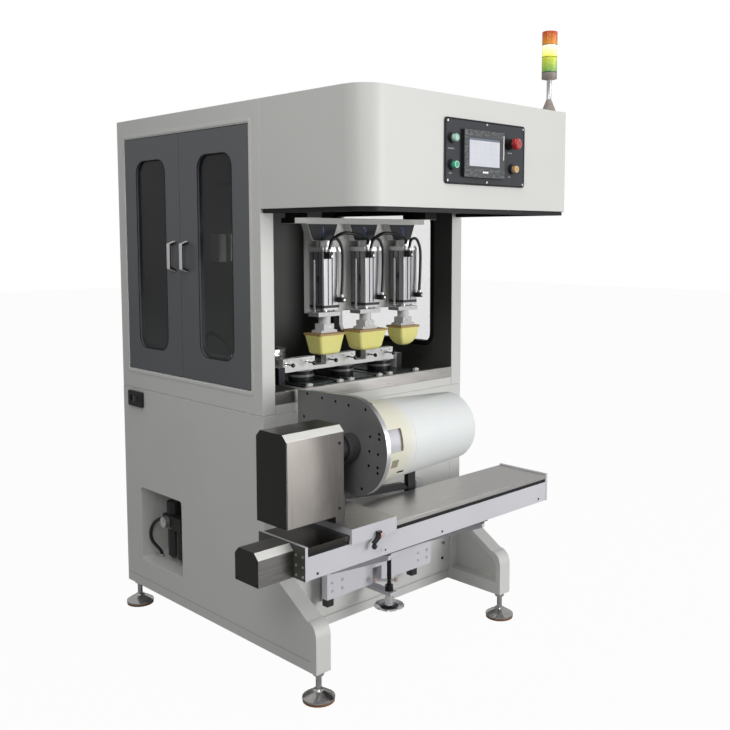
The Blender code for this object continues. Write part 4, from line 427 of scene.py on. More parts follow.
def plate(axis, level, spans, rise, radius=0.0, ring=0.0, steps=5):
    """A flat plate square to an axis, with round corners, or a ring of that outline."""
    a_low, a_high, b_low, b_high = spans
    bare()
    bpy.ops.mesh.primitive_plane_add(size=1)
    thing = bpy.context.object
    thing.scale = (a_high - a_low, b_high - b_low, 1)
    bpy.ops.object.transform_apply(scale=True)
    editing(True)
    if radius:
        bpy.ops.mesh.select_all(action="SELECT")
        bpy.ops.mesh.bevel(offset=radius, segments=steps, affect="VERTICES")
    bpy.ops.mesh.select_all(action="SELECT")
    if ring:
        bpy.ops.mesh.inset(thickness=ring)
        bpy.ops.mesh.delete(type="FACE")
        bpy.ops.mesh.select_all(action="SELECT")
    bpy.ops.mesh.extrude_region_move(TRANSFORM_OT_translate={"value": (0, 0, rise)})
    bpy.ops.mesh.select_all(action="SELECT")
    bpy.ops.mesh.normals_make_consistent(inside=False)
    editing(False)
    thing.data.transform(
        SPREADS[axis] @ Matrix.Translation(((a_low + a_high) / 2, (b_low + b_high) / 2, 0)))
    shift = {"X": (level, 0, 0), "Y": (0, level, 0), "Z": (0, 0, level)}[axis]
    thing.data.transform(Matrix.Translation(shift))
    return thing


for door in ("front", "rear"):
    leaf = "door_" + door
    skin(leaf, door_coat, 0.0015)
    pane_low, pane_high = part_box(leaf + "_pane")
    skin(leaf + "_pane", smoked_pane, 0.0)
    leaf_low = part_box(leaf)[0]
    gasket = plate(
        "X", leaf_low[0] + GASKET_LAP, (pane_low[1] - GASKET_LAP, pane_high[1] + GASKET_LAP,
        pane_low[2] - GASKET_LAP, pane_high[2] + GASKET_LAP), -GASKET_RISE, SLOT_ROUND,
        GASKET_WIDTH, 10)
    settle(gasket, leaf + "_gasket", gasket_rubber, leaf, 0.001)

LIP_REACH, LIP_WIDTH, LIP_RISE, LIP_ROUND = 0.0145, 0.01, 0.0023, 0.012
leaf_places = [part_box("door_front"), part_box("door_rear")]
lip_low = [min(low[k] for low, high in leaf_places) - LIP_REACH for k in range(3)]
lip_high = [max(high[k] for low, high in leaf_places) + LIP_REACH for k in range(3)]
lip = plate(
    "X", leaf_places[0][0][0] + 0.0003, (lip_low[1], lip_high[1], lip_low[2], lip_high[2]),
    -LIP_RISE, LIP_ROUND, LIP_WIDTH, 6)
settle(lip, "door_lip_frame", white_coat, "upper_cabinet", 0.0008)

# Door handles: bent aluminium bows with black end shoes, screwed through the leaf from
# behind. A polished front, brushed along its length.
satin_bar = grained(
    "satin_bar", 90, (0.78, 0.78, 0.8), (0.92, 0.92, 0.93), 0.2, 0.22, (1, 1, 0.04), Metallic=0.45)
shoe_black = grained("shoe_black", 500, (0.012, 0.012, 0.013), (0.024, 0.024, 0.026), 0.15, 0.38)
SHOE_HEIGHT = 0.012
for door in ("front", "rear"):
    node = "door_" + door + "_handle"
    low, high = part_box(node)
    bow = skin(node, satin_bar, 0.002)
    second_coat(bow, shoe_black, lambda at, out: at.x > high[0] - SHOE_HEIGHT)

# Mains inlet and switch plate: glass filled nylon, moulded, snapped into the side and
# held by two countersunk screws. Three flat pins stand in the socket.
matt_nylon = grained(
    "matt_nylon", 650, (0.01, 0.01, 0.011), (0.022, 0.022, 0.024), 0.2, 0.42, bump=0.08)
skin("mains_inlet", matt_nylon, 0.0012)
skin("mains_rocker", matt_nylon, 0.0)
bright_screw = grained(
    "bright_screw_steel", 900, (0.5, 0.5, 0.5), (0.72, 0.72, 0.72), 0.2, 0.22, Metallic=1.0)
black_oxide = grained(
    "black_oxide", 200, (0.01, 0.01, 0.012), (0.026, 0.026, 0.03), 0.2, 0.36, Metallic=0.6)


def socket_screw(radius, height, depth_share=0.55):
    """A cap screw pointing up: a head with an eased edge and a six sided socket."""
    head = button_top(radius, height, 0.22, 24)
    bare()
    deep = height * depth_share
    bpy.ops.mesh.primitive_cylinder_add(
        vertices=6, radius=radius * 0.52, depth=deep * 2, location=(0, 0, height))
    socket = bpy.context.object
    cut = head.modifiers.new("socket", "BOOLEAN")
    cut.object, cut.operation = socket, "DIFFERENCE"
    only(head)
    bpy.ops.object.modifier_apply(modifier=cut.name)
    bpy.data.objects.remove(socket)
    return head


def screws(
        name, node, places, turn, radius, height, finish=bright_screw,
        depth_share=0.55):
    """Cap screws at places on a solid."""
    copies(socket_screw(radius, height, depth_share), name, places, turn, finish, node)


inlet_low, inlet_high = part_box("mains_inlet")
inlet_mid = (inlet_low[2] + inlet_high[2]) / 2
screws(
    "inlet_screw", "mains_inlet",
    [(inlet_low[0] + 0.0002, y, inlet_mid) for y in (inlet_low[1] + 0.0065,
    inlet_high[1] - 0.0055)], LEFT, 0.003, 0.0012, black_oxide)
PIN_PLACES = ((0.5877, 0.0045), (0.581, -0.0035), (0.5944, -0.0035))
for k, (y, rise) in enumerate(PIN_PLACES, 1):
    pin = plate("X", inlet_high[0] - 0.0002, about(y, inlet_mid + rise, 0.0009, 0.002), -0.0062)
    settle(pin, f"inlet_pin_{k}", black_oxide, "mains_inlet", 0.0004)

# Alcove in the base: a welded sheet pocket, coated with the frame. The air unit stands
# on brackets on its back wall: die cast heads, dark bowls and a ribbed nylon knob.
skin("alcove_box", white_coat, 0.001)
cast_grey = grained(
    "cast_grey", 160, (0.2, 0.21, 0.195), (0.34, 0.355, 0.33), 0.2, 0.45, bump=0.15, Metallic=0.25)
dark_bowl = Finish("dark_bowl")
bowl_ring = (dark_bowl.along("Z") * 900).wave()
dark_bowl.feed(
    Base_Color=dark_bowl.mix(bowl_ring * 0.5 + 0.5, (0.012, 0.013, 0.014), (0.03, 0.032, 0.034)),
    Roughness=dark_bowl.grain(80) * 0.1 + 0.2, Normal=dark_bowl.bump(bowl_ring, 0.15, 0.0003))
unit_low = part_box("air_unit")[0]
HEAD_LEVEL = 0.33
KNOB_FROM, KNOB_FRONT, KNOB_BACK = 0.352, -0.3499, 0.4796
unit = skin("air_unit", cast_grey, 0.0016)
second_coat(unit, dark_bowl, lambda at, out: at.z < HEAD_LEVEL + 0.0005)
second_coat(
    unit, matt_nylon, lambda at, out: at.z > KNOB_FROM and at.x > KNOB_FRONT and at.y < KNOB_BACK)
skin("regulator_knob", matt_nylon, 0.0012)

# Gauge on the regulator: a plated case, a white dial with ticks all round and a needle.
GAUGE_RADIUS, GAUGE_WALL = 0.02, 0.003
gauge_y, gauge_z = 0.44965, 0.354
dial_white = Finish("dial_white", Roughness=0.35)
dial_here = dial_white.place(shift=(0, -gauge_y, -gauge_z))
dial_parts = [dial_white.node("SeparateXYZ", sockets={0: dial_here}, out=k) for k in (1, 2)]
dial_turn = dial_white.turn(*dial_parts)
dial_out = (dial_parts[0] * dial_parts[0] + dial_parts[1] * dial_parts[1]) ** 0.5
ticks = ((dial_turn * 20).wave() > 0.86) * (dial_out > 0.0105) * (dial_out < 0.014)
dial_white.feed(Base_Color=dial_white.mix(ticks, (0.75, 0.75, 0.73), (0.03, 0.03, 0.03)))
gauge_ring = plate(
    "X", unit_low[0], about(gauge_y, gauge_z, GAUGE_RADIUS), -GAUGE_WALL, GAUGE_RADIUS * 0.999,
    GAUGE_WALL, 12)
settle(gauge_ring, "gauge_rim", bright_screw, "air_unit", 0.0008)
dial = plate("X", unit_low[0], about(gauge_y, gauge_z, 0.017), -0.001, 0.01699, 0.0, 12)
settle(dial, "gauge_dial", dial_white, "air_unit")
needle = plate(
    "X", unit_low[0] - 0.001,
    (gauge_y - 0.0008, gauge_y + 0.0008, gauge_z - 0.003, gauge_z + 0.011), -0.0006)
settle(needle, "gauge_needle", matt_nylon, "air_unit")

# Air hose of the alcove: black polyurethane tube between two push fittings, bent out
# over the floor. It is rebuilt as a smooth tube along the route of its solid.
hose_black = grained(
    "polyurethane_hose", 120, (0.01, 0.01, 0.011), (0.02, 0.02, 0.022), 0.12, 0.26, (1, 1, 0.3))


def smooth_line(points, steps):
    """More points on one smooth curve through the given ones."""
    line = [Vector(p) for p in points]
    line = [line[0] * 2 - line[1], *line, line[-1] * 2 - line[-2]]
    made = []
    for a, b, c, d in zip(line, line[1:], line[2:], line[3:]):
        for k in range(steps):
            t = k / steps
            made.append(
                0.5 * (2 * b + (c - a) * t + (2 * a - 5 * b + 4 * c - d) * t ** 2 +
                (3 * b - a - 3 * c + d) * t ** 3))
    return made + [line[-2]]


def tube(name, points, radius, node):
    """A round tube along points, closed at both ends."""
    curve = bpy.data.curves.new(name, "CURVE")
    curve.dimensions, curve.bevel_depth, curve.bevel_resolution = "3D", radius, 4
    curve.use_fill_caps = True
    spline = curve.splines.new("POLY")
    spline.points.add(len(points) - 1)
    for knot, point in zip(spline.points, points):
        knot.co = (*point, 1.0)
    only(stand(name, curve))
    bpy.ops.object.convert(target="MESH")
    return settle(
        bpy.context.object, name, hose_black, node, smooth=math.radians(60))


AIR_ROUTE = (
    (-0.31685, 0.47995, 0.354), (-0.31685, 0.49195, 0.354), (-0.33985, 0.53495, 0.336),
    (-0.35285, 0.55195, 0.3), (-0.35085, 0.54995, 0.262), (-0.32985, 0.53195, 0.225),
    (-0.32485, 0.52695, 0.2093), (-0.32485, 0.52695, 0.1973))
air_hose = tube("alcove_air_hose", smooth_line(AIR_ROUTE, 6), 0.006, "air_hose")
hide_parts("air_hose")


def push_fitting(name, place, turn, radius, node):
    """A plated collet ring with a stepped shoulder, slipped over the end of a hose."""
    bare()
    bpy.ops.mesh.primitive_cylinder_add(
        vertices=24, radius=radius * 1.7, depth=radius * 1.2, location=(0, 0, radius * 0.6))
    thing = bpy.context.object
    bpy.ops.object.transform_apply(location=True)
    editing(True)
    bpy.ops.mesh.select_all(action="DESELECT")
    editing(False)
    for face in thing.data.polygons:
        face.select = face.normal.z > 0.9
    editing(True)
    bpy.ops.mesh.inset(thickness=radius * 0.3)
    bpy.ops.mesh.extrude_region_move(TRANSFORM_OT_translate={"value": (0, 0, radius * 0.7)})
    editing(False)
    thing.data.transform(Matrix.Translation(place) @ turn)
    settle(thing, name, bright_screw, node, radius * 0.12)


push_fitting("air_fitting_high", AIR_ROUTE[0], BACK, 0.006, "air_unit")
push_fitting("air_fitting_low", (-0.32485, 0.52695, 0.1972), UP, 0.006, "alcove_box")

# Inside the upper cabinet: two white junction boxes and a pale shelf are screwed to its
# wall, and a black tube bends down between push fittings. All show only dimly.
INNER_FACE, INNER_DEPTH = -0.33, 0.03
INNER_PARTS = (
    ("junction_box_1", (0.1176, 0.1668, 1.3013, 1.3931)),
    ("junction_box_2", (0.0498, 0.0641, 1.306, 1.393)),
    ("inner_shelf", (0.0531, 0.2374, 0.982, 0.987)))
for name, spans in INNER_PARTS:
    box = plate("X", INNER_FACE, spans, INNER_DEPTH, 0.002)
    settle(box, name, white_coat, "upper_cabinet", 0.0012)
INNER_ROUTE = (
    (-0.318, 0.23, 0.9875), (-0.318, 0.23, 1.02), (-0.318, 0.2, 1.058), (-0.318, 0.14, 1.05),
    (-0.318, 0.09, 1.02), (-0.318, 0.075, 0.9875))
tube("cabinet_hose", smooth_line(INNER_ROUTE, 6), 0.005, "upper_cabinet")
for k, end in enumerate((INNER_ROUTE[0], INNER_ROUTE[-1]), 1):
    push_fitting(
        f"cabinet_hose_fitting_{k}", (*end[:2], end[2] - 0.0008), UP, 0.005, "upper_cabinet")

# Painted shade inside the upper cabinet: the faces that look into the shell get a dark
# grey coat that stands in for the shade in there. It is the same shell with a second finish.
INNER_SHADE_LOW = Vector((-0.3375, -0.185, 0.83))
INNER_SHADE_HIGH = Vector((0.4875, 0.6465, 1.7775))
inner_shade_coat = coat("painted_inner_shade", (0.11, 0.118, 0.108), (0.092, 0.098, 0.091), 0.5, 0.16)


def inside_lining(at, out):
    """True for a face that looks into the cabinet."""
    centre = (INNER_SHADE_LOW + INNER_SHADE_HIGH) / 2
    within = all(a <= here <= b for a, here, b in zip(INNER_SHADE_LOW, at, INNER_SHADE_HIGH))
    return within and out.dot(centre - at) > 0


shell = bpy.data.objects["upper_cabinet_skin"]
second_coat(shell, inner_shade_coat, inside_lining)
# The hood's inner faces under its roof get the same painted shade.
second_coat(
    hood, inner_shade_coat, lambda at, out: at.z < hood_high[2] - 0.01 and
    (abs(out.z) > 0.9 or out.dot(Vector((0.075, -0.35, 0)) - Vector((at.x, at.y, 0))) > 0))

# Side window: a clear acrylic pane pressed into a black rubber profile, which grips the
# edge of the wall's opening all round.
clear_acrylic = Finish("clear_acrylic", IOR=1.49)
wipe = clear_acrylic.grain(9, (1, 1, 0.4))
clear_acrylic.feed(
    Base_Color=clear_acrylic.mix(wipe, (0.82, 0.86, 0.87), (0.9, 0.92, 0.93)),
    Roughness=wipe * 0.05 + 0.03, Alpha=wipe * 0.06 + 0.1)
clear_acrylic.material.blend_method = "BLEND"
PANE_LEVEL = 0.5125
window = skin("right_window", gasket_rubber, 0.0008)
second_coat(window, clear_acrylic, lambda at, out: at.x > PANE_LEVEL and abs(out.x) > 0.9)

# Work deck: a white coated bed with three black trays screwed to it. Each tray holds an
# etched steel printing plate under two small clamps, and bright rails guide the inking.
PAD_CENTRES = (-0.10485, 0.07915, 0.26315)
RAIL_LINES = [(a + b) / 2 for a, b in zip(PAD_CENTRES, PAD_CENTRES[1:])]
TRAY_SPAN_Y, TRAY_HALF, PLATE_HALF = (-0.16335, 0.23565), 0.079, 0.062
TRAY_LEVEL, BED_LEVEL = 0.899, 0.864
deck = skin("work_deck", white_coat, 0.0008)
etched_plate = Finish("etched_plate", Metallic=0.85)
plate_cloud = etched_plate.grain(14)
polish = etched_plate.grain(260, (1, 0.05, 1))
etched_plate.feed(
    Base_Color=etched_plate.mix(plate_cloud, (0.03, 0.045, 0.042), (0.085, 0.115, 0.108)),
    Roughness=polish * 0.16 + 0.16)
rail_steel = grained(
    "ground_rail_steel", 420, (0.42, 0.42, 0.43), (0.66, 0.66, 0.67), 0.2, 0.2, (1, 0.03, 1),
    Metallic=1.0)


def near(at, lines, reach):
    """True within this reach to the left or right of one of the lines."""
    return any(abs(at.x - line) < reach for line in lines)


second_coat(deck, black_anodised, lambda at, out: at.z > BED_LEVEL)
second_coat(
    deck, rail_steel, lambda at, out: at.z > BED_LEVEL and not near(at, PAD_CENTRES,
    TRAY_HALF + 0.014))
second_coat(
    deck, etched_plate, lambda at, out: at.z > TRAY_LEVEL + 0.001 and near(at, PAD_CENTRES,
    PLATE_HALF + 0.001))
second_coat(deck, rail_steel, lambda at, out: at.z > BED_LEVEL and near(at, RAIL_LINES, 0.0065))
milled = grained(
    "milled_aluminium", 700, (0.6, 0.6, 0.62), (0.8, 0.8, 0.82), 0.2, 0.28, (0.05, 1, 1),
    Metallic=0.9)
for k, x in enumerate(PAD_CENTRES, 1):
    lip = plate(
        "Y", TRAY_SPAN_Y[0], (x - TRAY_HALF, x + TRAY_HALF, TRAY_LEVEL - 0.02, TRAY_LEVEL - 0.001),
        0.003, 0.002)
    settle(lip, f"tray_front_strip_{k}", milled, "work_deck", 0.0005)
CLAMP_SIZE = (0.02, 0.013, 0.01)
clamp_places = [
    (x + side * (TRAY_HALF - 0.012), TRAY_SPAN_Y[0] + 0.012, TRAY_LEVEL) for x in PAD_CENTRES
    for side in (-1, 1)]
clamp = plate(
    "Z", 0, (-CLAMP_SIZE[0] / 2, CLAMP_SIZE[0] / 2, -CLAMP_SIZE[1] / 2, CLAMP_SIZE[1] / 2),
    CLAMP_SIZE[2], 0.002)
ease(clamp, 0.0008)
only(clamp)
bpy.ops.object.modifier_apply(modifier="ease")
copies(clamp, "plate_clamp", clamp_places, UP, white_coat, "work_deck")
screws(
    "plate_clamp_screw", "work_deck", [(x, y, z + CLAMP_SIZE[2]) for x, y, z in clamp_places], UP,
    0.0032, 0.0024)

# Sill: one folded strip of brushed stainless steel over the deck's front edge, glued
# down, with its grain running along it.
def brushed(name, axis, dark=0.4, light=0.6, warm=0.0):
    """Stainless sheet with a fine brushed grain along one axis."""
    made = Finish(name, Metallic=1.0)
    stretch = [1.0, 1.0, 1.0]
    stretch["XYZ".index(axis)] = 0.02
    brush = made.grain(520, tuple(stretch), 4.0)
    cloud = made.grain(5)
    tone = made.mix(
        brush, (dark, dark - warm / 2, dark - warm), (light, light - warm / 2, light - warm))
    return made.feed(
        Base_Color=made.mix(cloud * 0.35, tone, (0.5, 0.5 - warm / 2, 0.5 - warm)),
        Roughness=brush * 0.22 + 0.2, Normal=made.bump(brush, 0.06, 0.0002))


brushed_sill = brushed("brushed_sill", "X", 0.36, 0.56, 0.03)
skin("sill_plate", brushed_sill, 0.0006)

# Ink carriage: a white coated bar on two runners, with three clamp blocks, an ink cup
# over each plate and a stack of spare cup rings on its left end.
CUP_LINE = -0.02635
RING_PLACE, RING_RADIUS, RING_FOOT = Vector((-0.17285, 0.06565)), 0.064, 0.9465
BALL_LINE, BAR_LEVEL = -0.045, 0.9338
BAND_RADIUS, BAND_LEVEL, BAND_HEIGHT = 0.0445, 0.915, 0.008
# The bar's coat is whiter than the white coat of the cabinet: painted light, making up for the
# shade under the hood.
bar_coat_lit = coat("ink_bar_painted_light", (0.96, 0.96, 0.96), (0.9, 0.9, 0.91), 0.38, 0.08)
carriage = skin("ink_carriage", bar_coat_lit, 0.0007)
ball_black = grained(
    "phenolic_black", 60, (0.008, 0.008, 0.009), (0.018, 0.018, 0.02), 0.1, 0.18, Coat_Weight=0.3)
polished = grained(
    "polished_steel", 40, (0.74, 0.74, 0.75), (0.88, 0.88, 0.89), 0.08, 0.08, Metallic=0.75)
second_coat(carriage, ball_black, lambda at, out: at.y < BALL_LINE)
second_coat(
    carriage, polished, lambda at, out: (Vector((at.x, at.y)) - RING_PLACE).length < RING_RADIUS
    and at.z > RING_FOOT)
second_coat(carriage, black_oxide, lambda at, out: at.z < BAR_LEVEL)
BLOCK_LEFTS = (-0.19485, -0.00685, 0.18115)
BLOCK_FRONT = -0.04435
screw_places = [
    (left + along, BLOCK_FRONT, 0.9715) for left in BLOCK_LEFTS for along in (0.03, 0.078, 0.122)]
screws("block_screw", "ink_carriage", screw_places, FRONT, 0.0034, 0.0022)
stem_places = [(left + along, BLOCK_FRONT, 0.963) for left in BLOCK_LEFTS for along in (0.01, 0.1)]
copies(
    button_top(0.0062, 0.0035, 0.2, 6), "knob_lock_nut", stem_places, FRONT, polished,
    "ink_carriage")
grey_ceramic = grained(
    "grey_ceramic", 30, (0.16, 0.16, 0.16), (0.26, 0.26, 0.255), 0.1, 0.2, Coat_Weight=0.3)
for k, x in enumerate(PAD_CENTRES, 1):
    band = plate("Z", BAND_LEVEL, about(x, CUP_LINE, BAND_RADIUS), BAND_HEIGHT, 0.0444, 0.003, 14)
    settle(band, f"ink_cup_band_{k}", grey_ceramic, "ink_carriage", 0.0006)

# Pad carriage: a white coated beam on two hanger blocks, with the plate that holds the
# cylinders. A dark number plate hangs over each pad, its numeral cut from blue film.
beam = skin("pad_carriage", white_coat, 0.0008)
TRACK_BOTTOM = 1.446
second_coat(beam, black_anodised, lambda at, out: at.z > TRACK_BOTTOM)
NUMBER_LOW, NUMBER_TOP = 1.371, 1.427
NUMBER_FACE = -0.14435
number_dark = coat("number_plate_coat", (0.03, 0.034, 0.042), (0.02, 0.023, 0.03), 0.62, 0.08)
blue_film = grained("blue_film", 90, (0.012, 0.055, 0.24), (0.02, 0.085, 0.34), 0.1, 0.25)
for k, x in enumerate(PAD_CENTRES, 1):
    face = plate(
        "Y", NUMBER_FACE, (x - 0.063, x + 0.063, NUMBER_LOW + 0.002, NUMBER_TOP - 0.002), 0.0022)
    for corner in face.data.vertices:
        if corner.co.z < (NUMBER_LOW + NUMBER_TOP) / 2:
            corner.co.x = x + (corner.co.x - x) * 0.67
    settle(face, f"number_plate_{k}", number_dark, "pad_carriage", 0.0006)
    bare()
    bpy.ops.object.text_add()
    numeral = bpy.context.object
    numeral.data.body = str(k)
    numeral.data.size, numeral.data.extrude = 0.044, 0.0003
    numeral.data.align_x, numeral.data.align_y = "CENTER", "CENTER"
    only(numeral)
    bpy.ops.object.convert(target="MESH")
    numeral = bpy.context.object
    numeral.data.transform(Matrix.Translation((x, NUMBER_FACE - 0.0025, 1.399)) @ FRONT)
    settle(numeral, f"numeral_{k}", blue_film, "pad_carriage")

# Pad cylinders: extruded aluminium with a groove for switches on each side, a cast head
# and four head screws. Two flow controls stand on the front, joined by a black hose.
CYL_X_HALF = 0.036
CYL_FRONT = -0.18635
CYL_SPAN_Z = (1.148, 1.336)
CYL_MIDDLE_Y = -0.15035
HEAD_RISE, SCREW_REACH = 0.014, 0.03
GROOVE_HALF, GROOVE_DEPTH = 0.0022, 0.0004
HOSE_SPAN_Z, HOSE_LINE = (1.1883, 1.3363), -0.20385
BRIDGE_PORT = (-0.172, 1.3505)
extrusion = grained(
    "anodised_extrusion", 330, (0.24, 0.24, 0.25), (0.42, 0.42, 0.43), 0.16, 0.34, (1, 1, 0.012),
    bump=0.1, Metallic=1.0)
groove_dark = grained(
    "groove_shadow", 50, (0.03, 0.03, 0.032), (0.07, 0.07, 0.073), 0.2, 0.3, (1, 1, 0.1),
    Metallic=0.6)
groove_span = (CYL_SPAN_Z[0] + 0.016, CYL_SPAN_Z[1] - 0.001)
for number, x in enumerate(PAD_CENTRES, 1):
    node = f"pad_cylinder_{number}"
    cylinder = skin(node, extrusion, 0.0008)
    second_coat(cylinder, milled, lambda at, out: at.z > CYL_SPAN_Z[1] - 0.0005)
    second_coat(
        cylinder, matt_nylon, lambda at, out: at.y < CYL_FRONT - 0.001 and at.z < CYL_SPAN_Z[1] -
        0.0005)
    for side, way in ((-1, "left"), (1, "right")):
        for n, y in enumerate((-0.1625, -0.1385), 1):
            groove = plate(
                "X", x + side * CYL_X_HALF, (y - GROOVE_HALF, y + GROOVE_HALF, *groove_span),
                side * GROOVE_DEPTH)
            settle(groove, f"groove_{number}_{way}_{n}", groove_dark, node)
    for n, along in enumerate((-0.014, 0.003), 1):
        groove = plate(
            "Y", CYL_FRONT, (x + along - GROOVE_HALF, x + along + GROOVE_HALF, *groove_span),
            GROOVE_DEPTH)
        settle(groove, f"groove_{number}_front_{n}", groove_dark, node)
    band = plate(
        "Z", CYL_SPAN_Z[0] + 0.006, (x - 0.0366, x + 0.0366, -0.18695, -0.1149), 0.009, 0.0072,
        0.0034, 4)
    settle(band, f"seal_band_{number}", matt_nylon, node, 0.0004)
    screws(
        f"head_screw_{number}", node,
        [(x + a * SCREW_REACH, CYL_MIDDLE_Y + b * SCREW_REACH, CYL_SPAN_Z[1] + HEAD_RISE)
        for a in (-1, 1) for b in (-1, 1)], UP, 0.003, 0.0022)
    sensor = plate("X", x - CYL_X_HALF, (-0.165, -0.16, 1.236, 1.258), -0.0032, 0.0)
    settle(sensor, f"reed_switch_{number}", matt_nylon, node, 0.0008)
    for n, (along, level) in enumerate(((-0.024, 1.322), (0.028, 1.18)), 1):
        copies(
            button_top(0.0042, 0.006, 0.2, 12), f"flow_screw_{number}_{n}",
            [(x + along, -0.21235, level)], FRONT, bright_screw, node)
    high, low, line = HOSE_SPAN_Z[1], HOSE_SPAN_Z[0], HOSE_LINE
    route = (
        (x - 0.024, line, high), (x - 0.024, line, high + 0.01), (x - 0.012, line, high + 0.038),
        (x + 0.014, line, high + 0.038), (x + 0.032, line, high),
        (x + 0.032, line, (high + low) / 2), (x + 0.028, line, low + 0.015),
        (x + 0.028, line, low))
    loop = tube(f"cylinder_hose_{number}", smooth_line(route, 5), 0.005, node)
    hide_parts(f"pad_hose_{number}")
    for n, end in enumerate((route[0], route[-1]), 1):
        push_fitting(f"hose_fitting_{number}_{n}", end, UP, 0.0045, node)
for k, (x, onward) in enumerate(zip(PAD_CENTRES, PAD_CENTRES[1:]), 1):
    ends = ((x + 0.012, *BRIDGE_PORT), (onward - 0.016, *BRIDGE_PORT))
    sweep = (
        ends[0], (x + 0.012, -0.174, 1.372), (x + 0.045, -0.196, 1.396), (x + 0.105, -0.2, 1.39),
        (onward - 0.016, -0.18, 1.374), ends[1])
    tube(f"bridge_hose_{k}", smooth_line(sweep, 5), 0.0055, f"pad_cylinder_{k}")
    for n, end in enumerate(ends, 1):
        push_fitting(f"bridge_fitting_{k}_{n}", end, UP, 0.0046, f"pad_cylinder_{k}")

# Pad rods, brackets and pads: chrome plated rods carry white coated brackets and thin
# beech boards, to which the yellow silicone pads are cast.
PAD_BOARD, BRACKET_TOP, BRACKET_HALF, BRACKET_STEP = 1.065, 1.1402, 0.0355, 1.1262
white_bracket = coat("white_bracket_coat", (0.74, 0.74, 0.75), (0.66, 0.66, 0.67), 0.38, 0.08)
silicone = Finish("yellow_silicone", Coat_Weight=0.15)
bloom_patch = silicone.grain(26)
fine = silicone.grain(600)
silicone.feed(
    Base_Color=silicone.mix(bloom_patch, (0.95, 0.88, 0.24), (0.99, 0.96, 0.38)),
    Roughness=fine * 0.12 + 0.34, Normal=silicone.bump(fine, 0.06))
beech = grained(
    "beech_board", 70, (0.38, 0.22, 0.085), (0.62, 0.43, 0.17), 0.2, 0.5, (0.12, 1, 1), 5.0, 0.2)
for number, x in enumerate(PAD_CENTRES, 1):
    rod = skin(f"pad_rod_{number}", polished, 0.0003)
    second_coat(
        rod, white_bracket, lambda at, out: at.z < BRACKET_TOP and not (
            abs(at.x - x) > BRACKET_HALF and at.z > BRACKET_STEP and abs(out.z) < 0.5))
    screws(
        f"bracket_screw_{number}", f"pad_rod_{number}",
        [(x + a * 0.028, CYL_MIDDLE_Y + b * 0.018, 1.0798) for a in (-1, 1) for b in (-1, 1)], UP,
        0.003, 0.0022)
    screws(
        f"bracket_side_screw_{number}", f"pad_rod_{number}", [(x, -0.17235, 1.0905)], FRONT,
        0.0036, 0.0022)
    pad = skin(f"pad_{number}", silicone, 0.0)
    second_coat(pad, beech, lambda at, out: at.z > PAD_BOARD)
    for face in pad.data.polygons:
        face.use_smooth = face.center.z < PAD_BOARD - 0.0005

# Control panel: a dark coated plate on a black gasket, screwed to the hood. Moulded
# collars hold three push buttons and the stop button. Four blank strips stand for the labels.
PANEL_FACE = -0.64165
panel_coat = coat(
    "panel_coat", (0.05, 0.055, 0.063), (0.042, 0.046, 0.053), 0.56, 0.1, Specular_IOR_Level=0.25)
panel = skin("control_panel", panel_coat, 0.0007)
SCREW_XS, SCREW_ZS = (-0.05885, 0.11915, 0.29715), (1.548, 1.719)
second_coat(panel, matt_nylon, lambda at, out: at.y < PANEL_FACE - 0.0003)
second_coat(
    panel, bright_screw, lambda at, out: at.y < PANEL_FACE - 0.0003 and
    min(math.hypot(at.x - x, at.z - z) for x in SCREW_XS for z in SCREW_ZS) < 0.006)
border = plate("Y", PANEL_FACE, (-0.06865, 0.30695, 1.5382, 1.7288), 0.001, 0.0098, 0.0046, 6)
settle(border, "panel_border", gasket_rubber, "control_panel", 0.0004)
screws(
    "panel_screw", "control_panel",
    [(x, PANEL_FACE - 0.002, z) for x in SCREW_XS for z in SCREW_ZS], FRONT, 0.0034, 0.001,
    depth_share=0.8)
strip_grey = grained("strip_grey", 800, (0.2, 0.2, 0.21), (0.34, 0.34, 0.35), 0.2, 0.35)
STRIPS = (
    (-0.043, 1.64, 0.014), (-0.046, 1.569, 0.006), (0.233, 1.642, 0.011), (0.231, 1.569, 0.005))
for k, (x, z, half) in enumerate(STRIPS, 1):
    strip = plate("Y", PANEL_FACE, about(x, z, half, 0.0018), 0.0006, 0.001)
    settle(strip, f"blank_strip_{k}", strip_grey, "control_panel")

# Touch screen: a moulded case pushed through the plate, with a glass front over a pale
# lit display. A short bright bar is let into the chin of its bezel.
SCREEN_GLASS = -0.65245
SCREEN_SPANS = (0.02595, 0.16935, 1.5928, 1.6762)
case_grey = Finish("case_grey")
case_grain = case_grey.grain(500)
case_rise = case_grey.along("Z")
# Pale patches lie on the case along its top, its foot and its left side.
pale_patches = (
    case_grey.grain(75, (1, 1, 1.8)) > 0.53) * ((case_rise > 1.681) + (case_rise < 1.586) +
    (case_grey.along("X") < 0.02))
case_grey.feed(
    Base_Color=case_grey.mix(case_grain, (0.04, 0.043, 0.045), (0.06, 0.064, 0.066)),
    Roughness=case_grain * 0.15 + 0.42)
over(case_grey, pale_patches * 0.5, (0.17, 0.18, 0.19))
screen_case = skin("touch_screen", matt_nylon, 0.001)
second_coat(screen_case, case_grey, lambda at, out: out.y < -0.9)
display = Finish("lit_display", Emission_Strength=0.3)
rise = display.along("Z")
across = display.along("X")
header = rise > 1.669
tile = (((across * 262).wave() > 0.93) + ((rise * 420 + 1.2).wave() > 0.94)) * (rise < 1.664)
shade = display.grain(20)
lit = display.mix(
    header, display.mix(shade, (0.54, 0.55, 0.61), (0.62, 0.63, 0.67)), (0.16, 0.18, 0.23))
lit = display.mix(tile * 0.12, lit, (0.4, 0.42, 0.5))
display.feed(Base_Color=lit, Emission_Color=lit, Roughness=shade * 0.04 + 0.1)
glass = plate("Y", SCREEN_GLASS, SCREEN_SPANS, 0.0006, 0.001)
settle(glass, "display_glass", display, "touch_screen")
BEZEL_FACE = -0.65445
